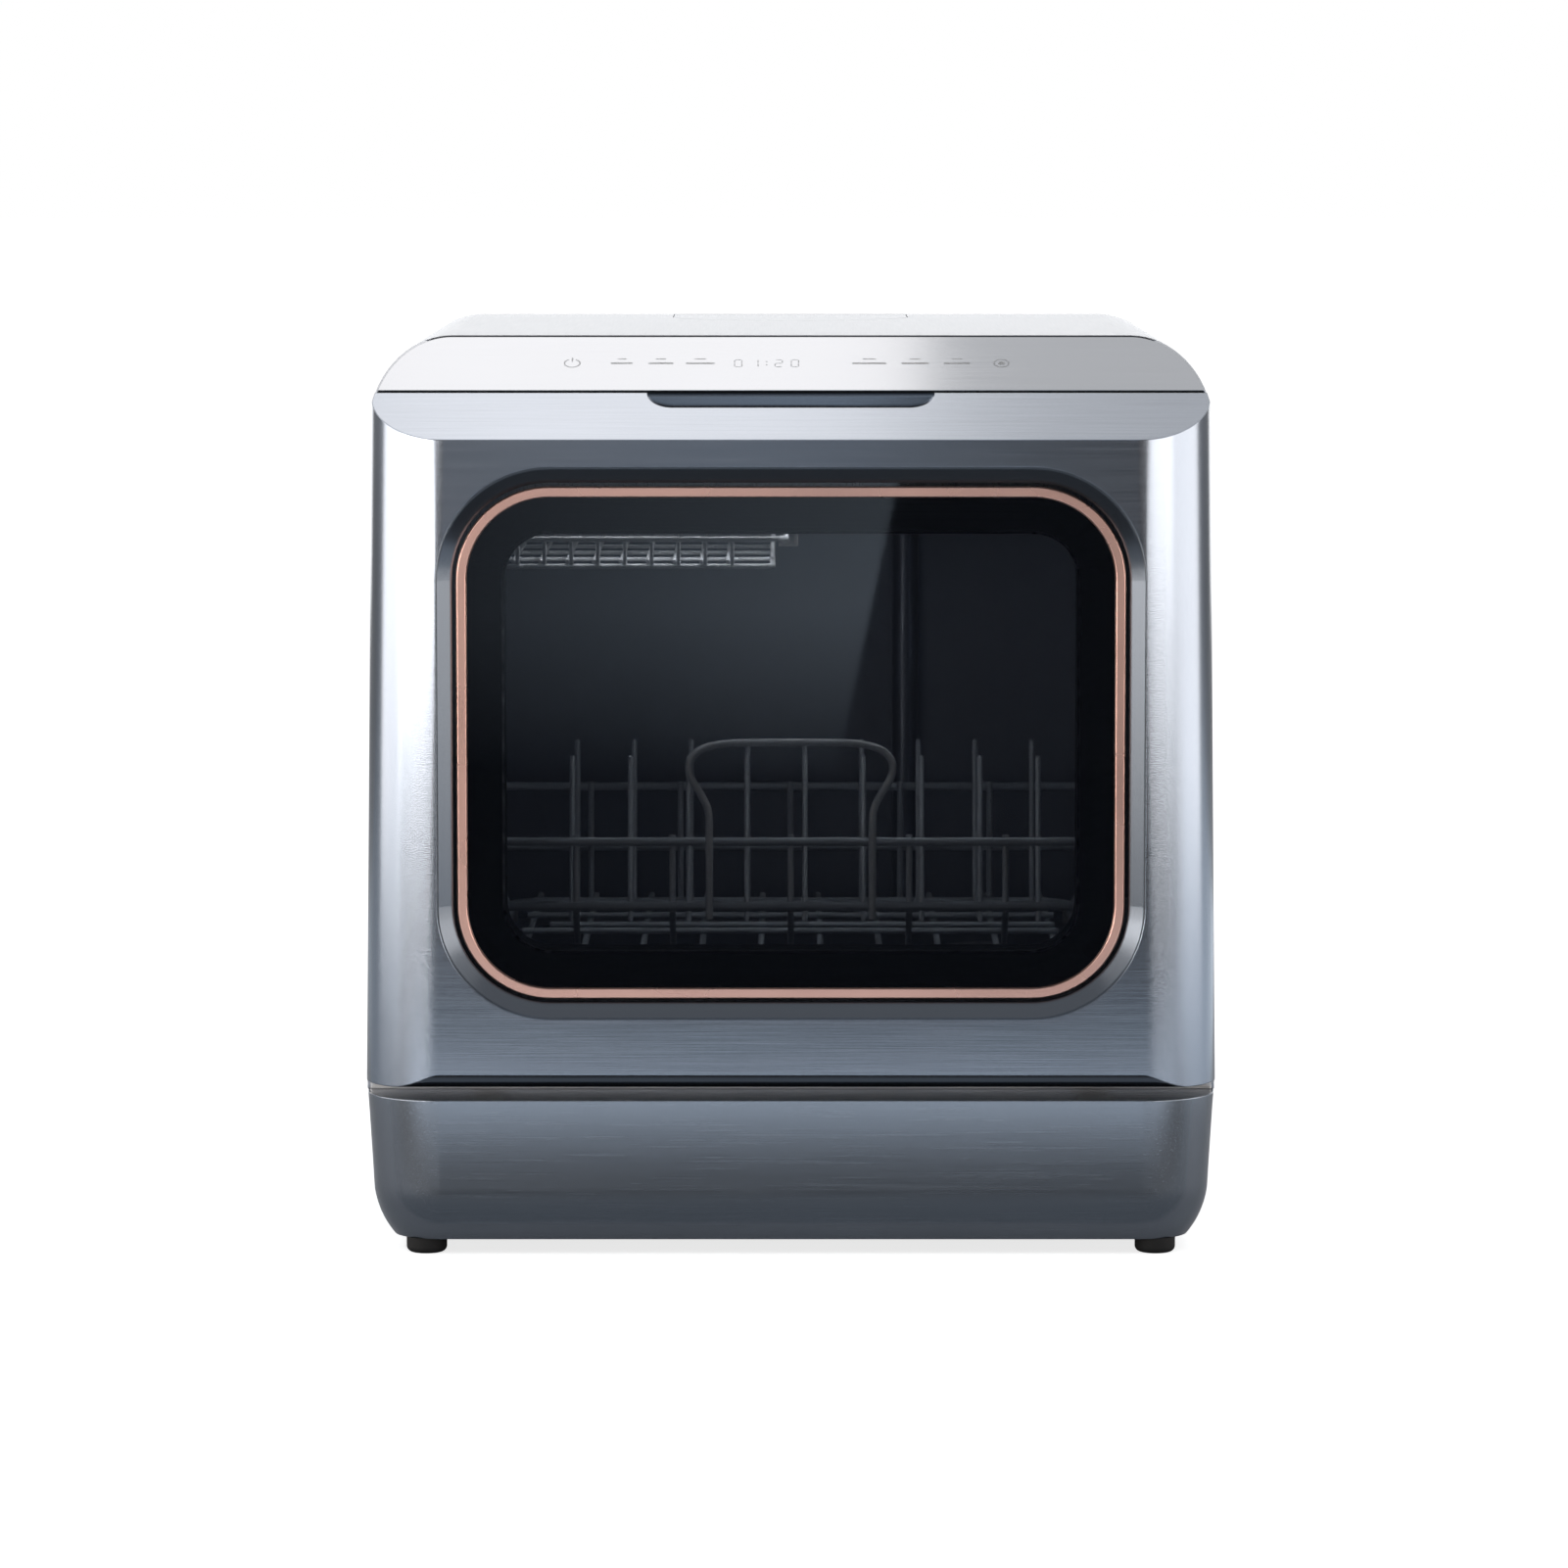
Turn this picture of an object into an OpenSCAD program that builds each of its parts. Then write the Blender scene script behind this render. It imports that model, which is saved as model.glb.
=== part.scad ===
// Countertop dishwasher with a drop-down window door, a wire rack and a water tank filled from the top.
// Millimetres. The origin is on the floor under the middle of the case, +Z is up and the door faces -Y.

/* [Case] */
// Width of the case and the door
body_w = 420; // [400:1:450]
// Depth from the door's face to the back edge of the wrap
body_d = 430; // [420:1:470]
// Height of the top above the floor
body_h = 450; // [446:1:480]
// Radius of the upright corners and of the top's side edges
corner_r = 37; // [30:1:42]
// Thickness of the outer wrap
wrap_t = 1.6; // [1.2:0.1:2.2]
// How far the sloped face's lower edge lies under the top
slope_drop = 47.6; // [44:0.2:49]
// Lean of each side wall, so that the case narrows upwards
draft_deg = 0.76; // [0.3:0.02:1.2]
// Angle of the sloped face above the level
slope_deg = 28.3; // [27:0.1:30]

/* [Base] */
// Height of the base's top edge
base_top = 78.5; // [74:0.5:82]
// Height of the feet under the base
foot_h = 7.8; // [6:0.2:10]
// Radius of a foot
foot_r = 10; // [8:0.5:13]
// Distance of a foot's axis from the base's side
foot_inset = 30; // [26:1:45]
// How much narrower the base is at its lower bend, on each side
base_taper = 2.6; // [1:0.1:6]
// Height of the base's lower bend
base_bend_z = 36; // [30:0.5:40]
// Radius of the base's rounded lower edge
base_curve_r = 44; // [40:1:60]
// Thickness of the base's wall
base_wall = 2.5; // [2:0.1:3.5]

/* [Door] */
// Thickness of the door
door_t = 39.3; // [38:0.1:42]
// Thickness of the door's skin
skin_t = 1.8; // [1.4:0.1:2.2]
// Gap between the base and the door
door_gap = 6; // [4:0.5:8]
// Radius of the door's lower edge, round the hinge axis
door_edge_r = 8; // [8:0.5:10]
// Gap between the door's back and the cabinet's front
front_gap = 3; // [2.6:0.1:4]

/* [Window] */
// Distance from the case's side to the bezel round the window
bezel_side = 37; // [36:0.5:44]
// Distance from the door's lower edge to the bezel
bezel_low = 34.2; // [33:0.1:42]
// Distance from the sloped face's edge to the bezel
bezel_high = 13.2; // [12:0.1:20]
// Corner radius of the bezel
bezel_r = 55.5; // [48:0.5:62]
// Width of the bezel's sloped band
bezel_band = 7.9; // [5:0.1:9]
// Depth of the glass behind the door's face
glass_depth = 6; // [5:0.1:7]
// Width of the metal trim ring
trim_band = 5.4; // [3:0.1:6]
// Dark gap between the bezel and the trim ring
trim_gap = 1.8; // [1:0.1:3]
// Width of the black border inside the trim ring
border_band = 18; // [14:0.5:22]
// Thickness of the outer pane
pane_t = 4; // [3:0.5:5]

/* [Handle recess] */
// Width of the finger recess at the seam
recess_w = 141; // [110:1:180]
// Reach of the finger recess from the seam towards the front
recess_run = 12.4; // [11:0.1:16]
// Depth of the finger recess
recess_depth = 30; // [24:1:34]

/* [Tub] */
// Distance from the case's side to the inside of the tub
tub_side = 30; // [27:0.5:35]
// Distance from the top to the tub's ceiling
ceiling_drop = 74; // [70:0.5:76]
// Thickness of the tub's sheet
tub_t = 1.4; // [1:0.1:2]
// Width of the side ledges
ledge_w = 28; // [26:1:34]
// Depth of the well under the side ledges
well_drop = 18; // [17.5:0.5:20]

/* [Spray arms] */
// Gap between the lower spray arm's tips and the edge of the well
arm_gap = 11; // [8:1:40]
// Length of the upper spray arm
upper_arm_l = 212; // [160:2:216]
// Gap between the upper spray arm's tips and the tub's side
upper_arm_gap = 12; // [8:1:20]
// Thickness of a spray arm
arm_t = 10; // [8:0.5:11]
// Radial clearance of the arms on their pins
arm_play = 0.08; // [0.04:0.01:0.1]

/* [Rack] */
// Gap between the rack and the tub's sides
rack_side = 9; // [8:0.5:12]
// Gap between the rack and the tub's rear wall
rack_back = 30; // [28:1:46]
// Height of the rack's upper rail over the ledges
rack_rail_h = 75.3; // [68:0.1:80]
// Height of the rack's middle rail over the ledges
rack_mid_h = 42.8; // [38:0.1:48]
// Height of the rack's floor wires over the ledges
rack_floor_h = 13; // [12.5:0.5:16]
// Diameter of the rail wire
rail_d = 4.4; // [3.6:0.2:5]
// Diameter of the thinner wire
wire_d = 3.2; // [2.6:0.2:3.6]
// Radius of a rack wheel
wheel_r = 8; // [7:0.5:9]
// Width of a rack wheel
wheel_w = 8; // [6:0.5:9]
// Height of the plate tines over the floor wires
tine_h = 92; // [60:1:105]
// Distance between plate tines
tine_pitch = 30; // [26:1:40]

/* [Cutlery tray] */
// Gap between the cutlery tray and the tub's side
tray_side = 13; // [12:0.5:30]
// Gap between the cutlery tray and the tub's rear wall
tray_back = 42; // [36:1:80]
// Drop of the tray's upper rail under the tub's ceiling
tray_drop = 26; // [25:0.5:32]
// Height of the tray's upper rail over its lowest wires
tray_h = 14; // [11:0.5:20]
// Distance between the tray's bars
tray_pitch = 13.3; // [12:0.1:15]
// Diameter of the tray's wire
tray_wire = 2.6; // [2:0.1:3]

/* [Water tank and fill] */
// Depth of the water tank, front to back
tank_d = 42.3; // [38:0.1:46]
// Width of the fill hatch
hatch_w = 126; // [100:1:140]
// Depth of the fill hatch
hatch_d = 106; // [90:1:110]
// Thickness of the fill hatch
hatch_t = 4; // [3.6:0.2:5]
// Radius of the filling hole
fill_r = 24; // [18:1:28]

/* [Services] */
// Radius of the water inlet's thread, a three-quarter inch pipe thread
inlet_r = 13.2; // [12:0.1:14]
// Length of the water inlet
inlet_l = 16; // [12:1:18]
// Radius of the drain spigot
drain_r = 9; // [7:0.5:11]
// Length of the drain spigot
drain_l = 24; // [18:1:26]

/* [Hidden] */
$fn = 96;
far = 700;
hw = body_w / 2;
yf = -body_d / 2;
yb = body_d / 2;
hair = 0.05;
door_z = base_top + door_gap;
slope_z = body_h - slope_drop;
door_y = yf + door_t;
front_y = door_y + front_gap;
seam_gap = 2;
frame_t = 1.4;
hinge_y = yf + door_edge_r;
hinge_z = door_z + door_edge_r;
slope_t = tan(slope_deg);
seam_z = slope_z + door_t * slope_t;
fascia_t = 3;
fascia_start = (door_t + seam_gap) / cos(slope_deg);
fascia_end = (body_h - slope_z) / sin(slope_deg) - 0.4;
fascia_seam = 0.8;
lip_z = seam_z - 15.5;
inner_sheet = 1.6;
gasket_t = front_gap - 0.4;

// the window, from the outside in
bezel_w = body_w - 2 * bezel_side;
bezel_h = slope_z - door_z - bezel_low - bezel_high;
window_z = door_z + bezel_low + bezel_h / 2;
trim_w = bezel_w - 2 * (bezel_band + trim_gap);
trim_h = bezel_h - 2 * (bezel_band + trim_gap);
trim_r = bezel_r - bezel_band - trim_gap;
clear_w = trim_w - 2 * (trim_band + border_band);
clear_h = trim_h - 2 * (trim_band + border_band);
clear_r = trim_r - trim_band - border_band;
pane_y = yf + glass_depth;
tunnel_wall = 6;
border_t = 1.5;

// the tub and what stands in it
tub_w = body_w - 2 * tub_side;
ceiling_z = body_h - ceiling_drop;
tank_y1 = yb - 15;
tank_y0 = tank_y1 - tank_d;
ledge_z = hinge_z + door_t - door_edge_r + 0.2;
well_z = ledge_z - well_drop;
tub_y0 = front_y + frame_t;
tub_y1 = tank_y0 - tub_t - 3;
tub_r = 12;
tub_h = ceiling_z - ledge_z;
tub_mid_z = (ceiling_z + ledge_z) / 2;
well_w = tub_w - 2 * ledge_w;
well_d = tub_y1 - tub_y0 - 34.6;
well_r = 60;
arm_y = (tub_y0 + tub_y1) / 2 - 1;
arm_l = min(well_w, well_d) - 2 * arm_gap;
pan_z = foot_h;
sump_x = 66;
sump_y = arm_y + 62;
sump_r = 40;
sump_z = pan_z + 16;
pump_z = pan_z + 30;
cup_r = 24;
plate_t = 1.5;
arm_z = well_z + 7;
arm_pin_r = 6;
upper_arm_x = tub_w / 2 - upper_arm_l / 2 - upper_arm_gap;
upper_z = ceiling_z - 22.5;
upper_pin_r = 5;
feed_r = 7;
feed_z = ceiling_z - feed_r - 0.5;

// the rack and the tray
rack_y0 = door_y + 23;
rack_y1 = tub_y1 - rack_back;
rack_w = tub_w - 2 * rack_side;
rack_d = rack_y1 - rack_y0;
rail_z = ledge_z + rack_rail_h;
mid_z = ledge_z + rack_mid_h;
floor_z = ledge_z + rack_floor_h;
floor_y0 = rack_y0 + 38;
floor_y1 = rack_y1 - 6;
floor_w = well_w - 6;
wheel_z = ledge_z + wheel_r + 0.3;
wheel_ys = [door_y + 112, rack_y1 - 22];
axle_r = 2;
wheel_x = tub_w / 2 - ledge_w / 2 - 1;
weld = 0.02;
tray_x1 = -1;
tray_x0 = -tub_w / 2 + tray_side;
tray_y0 = rack_y0 + 2;
tray_y1 = tub_y1 - tray_back;
tray_w = tray_x1 - tray_x0;
tray_d = tray_y1 - tray_y0;
tray_top = ceiling_z - tray_drop;
tray_floor = tray_top - tray_h;

// the filling place on the top
hatch_axis_y = yb - 6;
hatch_y0 = hatch_axis_y - hatch_d;
hatch_axis_z = body_h - hatch_t / 2;
hatch_gap = 0.6;
basin_z = body_h - 12;
tank_z0 = base_top;
tank_z1 = body_h - 36;
fill_y = (tank_y0 + tank_y1) / 2;

// the base and the rear
base_in = 0.65;
base_w = body_w - 2 * base_in;
base_d = body_d - 2 * base_in;
deck_t = 2.5;
niche_y = yb - 30;
niche_x = -95;
niche_w = 110;
niche_z0 = foot_h + 8;
niche_z1 = base_top - deck_t - 4;
service_z = (niche_z0 + niche_z1) / 2;

// flat rounded rectangle about the origin
module round_rect(w, h, r) {
    square([w - 2 * r, h], center = true);
    square([w, h - 2 * r], center = true);
    for (sx = [-1, 1], sy = [-1, 1])
        translate([sx * (w / 2 - r), sy * (h / 2 - r)]) circle(r);
}

// runs a section round a rounded rectangle; section x points outwards and section y up
module ring_sweep(w, h, r) {
    for (k = [0:3])
        rotate(90 * k) sweep_quarter(k % 2 == 0 ? w : h, k % 2 == 0 ? h : w, r) children();
}

module sweep_quarter(w, h, r) {
    translate([-(w / 2 - r), h / 2, 0])
        rotate([90, 0, 90]) linear_extrude(w - 2 * r) children();
    translate([w / 2 - r, h / 2 - r, 0]) rotate_extrude(angle = 90) translate([r, 0]) children();
}

// stands a flat shape in the XZ plane and draws it from y0 back to y1
module along_y(y0, y1) {
    translate([0, y1, 0]) rotate([90, 0, 0]) linear_extrude(y1 - y0) children();
}

// stands a flat shape in the YZ plane and draws it from x0 to x1
module along_x(x0, x1) {
    translate([x0, 0, 0]) rotate([90, 0, 90]) linear_extrude(x1 - x0) children();
}

// puts a part that is built lying down onto the plane y, facing the front
module facing(y, z) {
    translate([0, y, z]) rotate([90, 0, 0]) children();
}

// straight round bar between two points
module rod(a, b, d) {
    v = b - a;
    l = norm(v);
    translate(a) rotate([0, acos(v[2] / l), atan2(v[1], v[0])]) cylinder(d = d, h = l);
}

// the same with a rounded end at b
module pin(a, b, d) {
    v = b - a;
    l = norm(v);
    translate(a) rotate([0, acos(v[2] / l), atan2(v[1], v[0])]) rotate_extrude() {
        square([d / 2, l]);
        intersection() {
            translate([0, l]) circle(d / 2);
            translate([0, l]) square(d);
        }
    }
}

module ball(p, d) {
    translate(p) sphere(d = d);
}

module both_sides() {
    children();
    mirror([1, 0, 0]) children();
}

// plan of the right half, x counted from the side wall
module half_plan(o) {
    translate([-far, yf + o]) square([far - corner_r, body_d - 2 * o]);
    translate([-corner_r, yf + corner_r])
        square([corner_r - o, body_d - 2 * corner_r]);
    for (y = [yf + corner_r, yb - corner_r]) translate([-corner_r, y]) circle(corner_r - o);
}

// upright right side, leaning in by the draft
module side_prism(o) {
    translate([hw, 0, base_top]) rotate([0, -draft_deg, 0])
        translate([0, 0, -30]) linear_extrude(body_h) half_plan(o);
}

// the case's outer form, drawn in by o on every face
module envelope(o) {
    cz = body_h - corner_r;
    cx = hw - (cz - base_top) * tan(draft_deg) - corner_r + hair;
    intersection() {
        side_prism(o);
        mirror([1, 0, 0]) side_prism(o);
        along_y(-far, far) {
            translate([-far, 0]) square([2 * far, cz]);
            translate([-cx, cz - 1]) square([2 * cx, corner_r - o + 1]);
            for (sx = [-1, 1]) translate([sx * cx, cz]) circle(corner_r - o);
        }
    }
}

// frame of the sloped face: y runs up the slope, z points out of it
module on_slope() {
    translate([0, yf, slope_z]) rotate([slope_deg, 0, 0]) children();
}

// the door's form drawn in by o, from the front back to y1
module door_form(o, y1) {
    r = door_edge_r - o;
    lean = o / cos(slope_deg);
    intersection() {
        envelope(o);
        along_x(-far, far) {
            translate([hinge_y - hair, hinge_z]) circle(r);
            translate([hinge_y - hair, door_z + o]) square([y1 - hinge_y + hair, 40]);
            polygon([[yf - 10, hinge_z], [y1, hinge_z],
                [y1, slope_z + (y1 - yf) * slope_t - lean], [yf - 10, slope_z - 10 * slope_t - lean]]);
        }
    }
}

module recess_plan(o) {
    intersection() {
        union() {
            translate([-(recess_w / 2 - recess_run), -recess_run - o])
                square([recess_w - 2 * recess_run, recess_run + o]);
            for (sx = [-1, 1])
                translate([sx * (recess_w / 2 - recess_run), 0]) circle(recess_run + o);
        }
        translate([-far, -far]) square([2 * far, far]);
    }
}

module tub_outline(o) {
    translate([0, tub_mid_z]) round_rect(tub_w + 2 * o, tub_h + 2 * o, tub_r + o);
}

module hatch_plan(o) {
    r = hatch_w / 2;
    intersection() {
        translate([0, hatch_y0 + r]) circle(r + o);
        translate([-far, hatch_y0 - far]) square([2 * far, far + r]);
    }
    translate([-r - o, hatch_y0 + r])
        square([hatch_w + 2 * o, hatch_d - r + (o > 0 ? hatch_t / 2 + o : 0)]);
}

module cabinet_wrap() {
    color([0.62, 0.64, 0.66]) difference() {
        envelope(0);
        envelope(wrap_t);
        translate([-far, -far, -1]) cube([2 * far, 2 * far, base_top + 1]);
        translate([-far, -far, 0]) cube([2 * far, far + front_y, far]);
        // room for the fascia and its seam
        on_slope() translate([-far, -far, -fascia_t]) cube([2 * far, far + fascia_end + 0.8, far]);
        translate([0, 0, body_h - 40]) linear_extrude(60) hatch_plan(hatch_gap);
        along_y(yb - 10, yb + 10) rear_window(0);
        hatch_pin(0.3);
    }
}

module rear_window(o) {
    translate([0, (base_top + 14 + body_h - 34) / 2])
        round_rect(body_w - 104 + 2 * o, body_h - base_top - 48 + 2 * o, 10 + o);
}

module control_fascia() {
    color([0.82, 0.85, 0.88]) {
        intersection() {
            envelope(fascia_seam);
            on_slope() translate([-far, fascia_start, -fascia_t])
                cube([2 * far, fascia_end - fascia_start, fascia_t]);
        }
        // the lip fits between the wrap's sides
        intersection() {
            envelope(wrap_t);
            along_x(-far, far) fascia_lip();
        }
    }
}

module fascia_lip() {
    y = door_y + seam_gap;
    polygon([[y, lip_z], [y + 2, lip_z],
        [y + 2, seam_z + 1.5 * slope_t - 2], [y, seam_z + 0.5 * slope_t - 2]]);
}

module control_board() {
    board_w = body_w - 180;
    color([0.05, 0.3, 0.12]) on_slope() {
        translate([-board_w / 2, fascia_start + 12, -fascia_t - 8]) cube([board_w, 30, 1.6]);
        translate([-32, fascia_start + 16, -fascia_t - 6.4]) cube([64, 20, 6.4]);
        for (k = [0:6]) translate([-100 + 8 * k + (k > 3 ? 120 : 0), fascia_start + 22, -fascia_t - 6.4])
            cube([5, 8, 5]);
    }
}

// outside of the base's wall, drawn in by o; x = 0 is the base's top edge
module base_section(o, reach = 30) {
    polygon([[-reach, base_bend_z], [-base_taper - o, base_bend_z], [-o, base_top + o],
        [-reach, base_top + o]]);
    intersection() {
        translate([-base_taper - base_curve_r, base_bend_z]) circle(base_curve_r - o);
        translate([-reach, foot_h - o]) square([reach, base_bend_z - foot_h + o]);
    }
}

module base_shell() {
    color([0.3, 0.33, 0.37]) difference() {
        union() {
            ring_sweep(base_w, base_d, corner_r) difference() {
                base_section(0);
                base_section(base_wall);
            }
            translate([0, 0, base_top - deck_t]) linear_extrude(deck_t) difference() {
                round_rect(base_w - 2 * base_wall + 1, base_d - 2 * base_wall + 1, corner_r - base_wall);
                translate([0, 12]) square([body_w - 60, body_d - 76], center = true);
            }
        }
        translate([niche_x - niche_w / 2, yb - 20, niche_z0])
            cube([niche_w, 40, niche_z1 - niche_z0]);
    }
}

module base_pan() {
    curve_in = base_curve_r - sqrt(pow(base_curve_r, 2) - pow(base_bend_z - foot_h, 2));
    pan_in = curve_in + base_taper + base_wall + 2.5;
    color([0.16, 0.17, 0.18]) {
        translate([0, 0, pan_z]) linear_extrude(2)
            round_rect(base_w - 2 * pan_in, base_d - 2 * pan_in, corner_r - pan_in + 6);
        // box of the connections, its edge lying against the shell
        difference() {
            intersection() {
                translate([niche_x - niche_w / 2 - 2, niche_y - 2, pan_z + 2])
                    cube([niche_w + 4, 60, niche_z1 - pan_z]);
                along_x(-far, far) translate([yb - base_in, 0])
                    base_section(base_wall, yb - base_in - niche_y + 4);
            }
            translate([niche_x - niche_w / 2, niche_y, niche_z0])
                cube([niche_w, 60, niche_z1 - niche_z0]);
        }
    }
}

// a foot with a rounded tread
module foot(sx, sy) {
    tread = 3;
    inset_y = foot_inset - 5;
    color([0.03, 0.03, 0.03])
        translate([sx * (hw - foot_inset), sy * (yb - inset_y), 0])
        rotate_extrude() {
            square([foot_r - tread, pan_z]);
            translate([0, tread]) square([foot_r, pan_z - tread]);
            intersection() {
                translate([foot_r - tread, tread]) circle(tread);
                square([foot_r, tread]);
            }
        }
}

module foot_front_left() { foot(-1, -1); }
module foot_front_right() { foot(1, -1); }
module foot_rear_left() { foot(-1, 1); }
module foot_rear_right() { foot(1, 1); }

rear_t = 1.2;
rear_y = yb - wrap_t - rear_t;

module rear_panel() {
    color([0.5, 0.52, 0.54]) difference() {
        along_y(rear_y, rear_y + rear_t) rear_window(6);
        along_y(rear_y - 1, yb) for (i = [-6:6], j = [0:1])
            translate([16 * i, 130 + 30 * j]) round_rect(6, 22, 2.9);
        rear_screw_places() cylinder(r = 1.75, h = 10, center = true);
    }
}

module rear_screw_places() {
    x = (body_w - 104) / 2 - 7;
    for (sx = [-1, 1], z = [base_top + 40, body_h / 2 + 40, body_h - 70])
        translate([sx * x, rear_y + rear_t, z]) rotate([-90, 0, 0]) children();
}

module rear_screws() {
    color([0.7, 0.7, 0.7]) rear_screw_places() {
        cylinder(r = 3.4, h = 0.9);
        translate([0, 0, -5]) cylinder(r = 1.7, h = 5);
    }
}

module front_frame() {
    color([0.66, 0.67, 0.68]) difference() {
        intersection() {
            envelope(wrap_t);
            translate([-far, front_y, base_top]) cube([2 * far, frame_t, lip_z - base_top]);
        }
        along_y(front_y - 1, front_y + 5) tub_outline(0);
        translate([-12, front_y - 1, latch_z - 4]) cube([24, 10, 14]);
    }
}

latch_z = (ceiling_z + lip_z) / 2;

module tub() {
    color([0.75, 0.76, 0.77]) difference() {
        union() {
            along_y(tub_y0, tub_y1 + tub_t) tub_outline(tub_t);
            translate([0, arm_y, well_z - tub_t]) linear_extrude(well_drop)
                round_rect(well_w + 2 * tub_t, well_d + 2 * tub_t, well_r + tub_t);
        }
        along_y(tub_y0 - 1, tub_y1) tub_outline(0);
        translate([0, arm_y, well_z]) linear_extrude(well_drop + 1)
            round_rect(well_w, well_d, well_r);
        translate([sump_x, sump_y, well_z - 5]) cylinder(r = sump_r, h = 10);
    }
}

module tub_gasket() {
    gasket_w = 6;
    color([0.08, 0.08, 0.08]) facing(front_y, tub_mid_z)
        ring_sweep(tub_w + 16, tub_h + 16, tub_r + 8) translate([-gasket_w, 0]) {
            square([gasket_w, gasket_t / 2]);
            translate([1, gasket_t / 2]) square([gasket_w - 2, gasket_t / 2]);
        }
}

module sump() {
    rim = well_z - tub_t;
    stub_x = sump_x - sump_r - 8;
    color([0.2, 0.2, 0.22]) difference() {
        union() {
            translate([sump_x, sump_y, sump_z]) cylinder(r = sump_r + 2, h = rim - sump_z);
            translate([sump_x, sump_y, rim - 3]) cylinder(r = sump_r + 9, h = 3);
            rod([stub_x, sump_y, pump_z], [sump_x, sump_y, pump_z], 20);
        }
        translate([sump_x, sump_y, sump_z + 2]) cylinder(r = sump_r, h = well_z);
        rod([stub_x - 1, sump_y, pump_z], [sump_x, sump_y, pump_z], 15);
    }
}

module filter_plate() {
    plate_r = sump_r + 8;
    color([0.78, 0.79, 0.8]) translate([sump_x, sump_y, well_z]) difference() {
        cylinder(r = plate_r, h = plate_t);
        translate([0, 0, -1]) cylinder(r = cup_r + 0.06, h = 10);
        for (k = [0:17]) rotate(20 * k) translate([(cup_r + sump_r) / 2, 0, -1])
            cylinder(r = 3, h = 10);
    }
}

module filter_cup() {
    rim_z = well_z + plate_t + 0.3;
    color([0.45, 0.47, 0.5]) translate([sump_x, sump_y, 0]) {
        difference() {
            union() {
                translate([0, 0, sump_z + 6]) cylinder(r = cup_r, h = rim_z - sump_z - 5);
                translate([0, 0, rim_z]) cylinder(r = cup_r + 3, h = 1.6);
            }
            translate([0, 0, sump_z + 8]) cylinder(r = cup_r - 1.8, h = 80);
            for (k = [0:11]) rotate(30 * k) translate([0, -1.5, sump_z + 12])
                cube([60, 3, well_z - sump_z - 30]);
        }
        translate([-cup_r + 1, -2, rim_z - 4]) cube([2 * cup_r - 2, 4, 7]);
    }
}

module spray_hub() {
    color([0.3, 0.31, 0.33]) translate([0, arm_y, 0]) {
        translate([0, 0, well_z]) cylinder(r = 15, h = 2.5);
        translate([0, 0, well_z]) cylinder(r = 10, h = arm_z - well_z - 0.3);
        translate([0, 0, well_z]) cylinder(r = arm_pin_r, h = arm_z - well_z + arm_t + 3);
        translate([0, 0, arm_z + arm_t + 0.3]) cylinder(r = 9, h = 2.7);
    }
}

// one arm lying along x, its hub at the origin and its nozzles towards dir
module spray_arm(l, t, pin, dir) {
    tip_r = 11;
    difference() {
        union() {
            cylinder(r = 19, h = t);
            for (s = [0, 180]) rotate(s) {
                translate([0, -13, 1]) cube([l * 0.28, 26, t - 2]);
                translate([l * 0.28, 0, 1]) cylinder(r = 13, h = t - 2);
                translate([l * 0.28, -tip_r, 1.5]) cube([l / 2 - tip_r - l * 0.28, 2 * tip_r, t - 3]);
                translate([l / 2 - tip_r, 0, 1.5]) cylinder(r = tip_r, h = t - 3);
            }
        }
        translate([0, 0, -1]) cylinder(r = pin + arm_play, h = t + 2);
        for (s = [0, 180], k = [0:3]) rotate(s)
            translate([26 + k * (l / 2 - 40) / 3.6, 4 - 2 * k, dir > 0 ? t - 3.5 : -0.5])
            cylinder(r = 1.6, h = 4);
    }
}

module spray_arm_lower() {
    color([0.35, 0.37, 0.4]) translate([0, arm_y, arm_z]) rotate(35) spray_arm(arm_l, arm_t, arm_pin_r, 1);
}

module spray_arm_upper() {
    color([0.35, 0.37, 0.4]) translate([upper_arm_x, arm_y, upper_z]) rotate(90)
        spray_arm(upper_arm_l, arm_t, upper_pin_r, -1);
}

// riser up the tub's rear wall and feed along its ceiling to the upper arm
module upper_feed_pipe() {
    riser_y = tub_y1 - feed_r - 1.5;
    color([0.3, 0.31, 0.33]) {
        translate([upper_arm_x, riser_y, ledge_z]) cylinder(r = feed_r, h = feed_z - ledge_z);
        ball([upper_arm_x, riser_y, feed_z], 2 * feed_r);
        rod([upper_arm_x, riser_y, feed_z + 1], [upper_arm_x, arm_y, feed_z + 1], 10);
        translate([upper_arm_x, arm_y, upper_z + arm_t + 0.3])
            cylinder(r = 9, h = feed_z - upper_z - arm_t + 3);
        translate([upper_arm_x, arm_y, upper_z - 2.4])
            cylinder(r = upper_pin_r, h = feed_z - upper_z);
        translate([upper_arm_x, arm_y, upper_z - 2.6]) cylinder(r = 8, h = 2.3);
    }
}

// motor, volute, suction pipe to the sump and riser to the tub's floor
module wash_pump() {
    y = sump_y;
    color([0.12, 0.13, 0.15]) {
        rod([-92, y, pump_z], [-22, y, pump_z], 50);
        rod([-22, y, pump_z], [-4, y, pump_z], 56);
        rod([-4, y, pump_z], [sump_x - sump_r - 8, y, pump_z], 18);
        for (x = [-72, -30]) translate([x, y - 12, pan_z + 2]) cube([12, 24, 20]);
        translate([-13, y, pump_z]) cylinder(r = 7, h = well_z - tub_t - pump_z);
    }
}

module drain_pump() {
    z = service_z;
    color([0.12, 0.13, 0.15]) {
        rod([niche_x + 34, niche_y - 75, z], [niche_x + 34, niche_y - 35, z], 36);
        rod([niche_x + 34, niche_y - 35, z], [niche_x + 34, niche_y - 2, z], 16);
        translate([niche_x + 24, niche_y - 67, pan_z + 2]) cube([20, 20, z - pan_z - 14]);
    }
}

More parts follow.
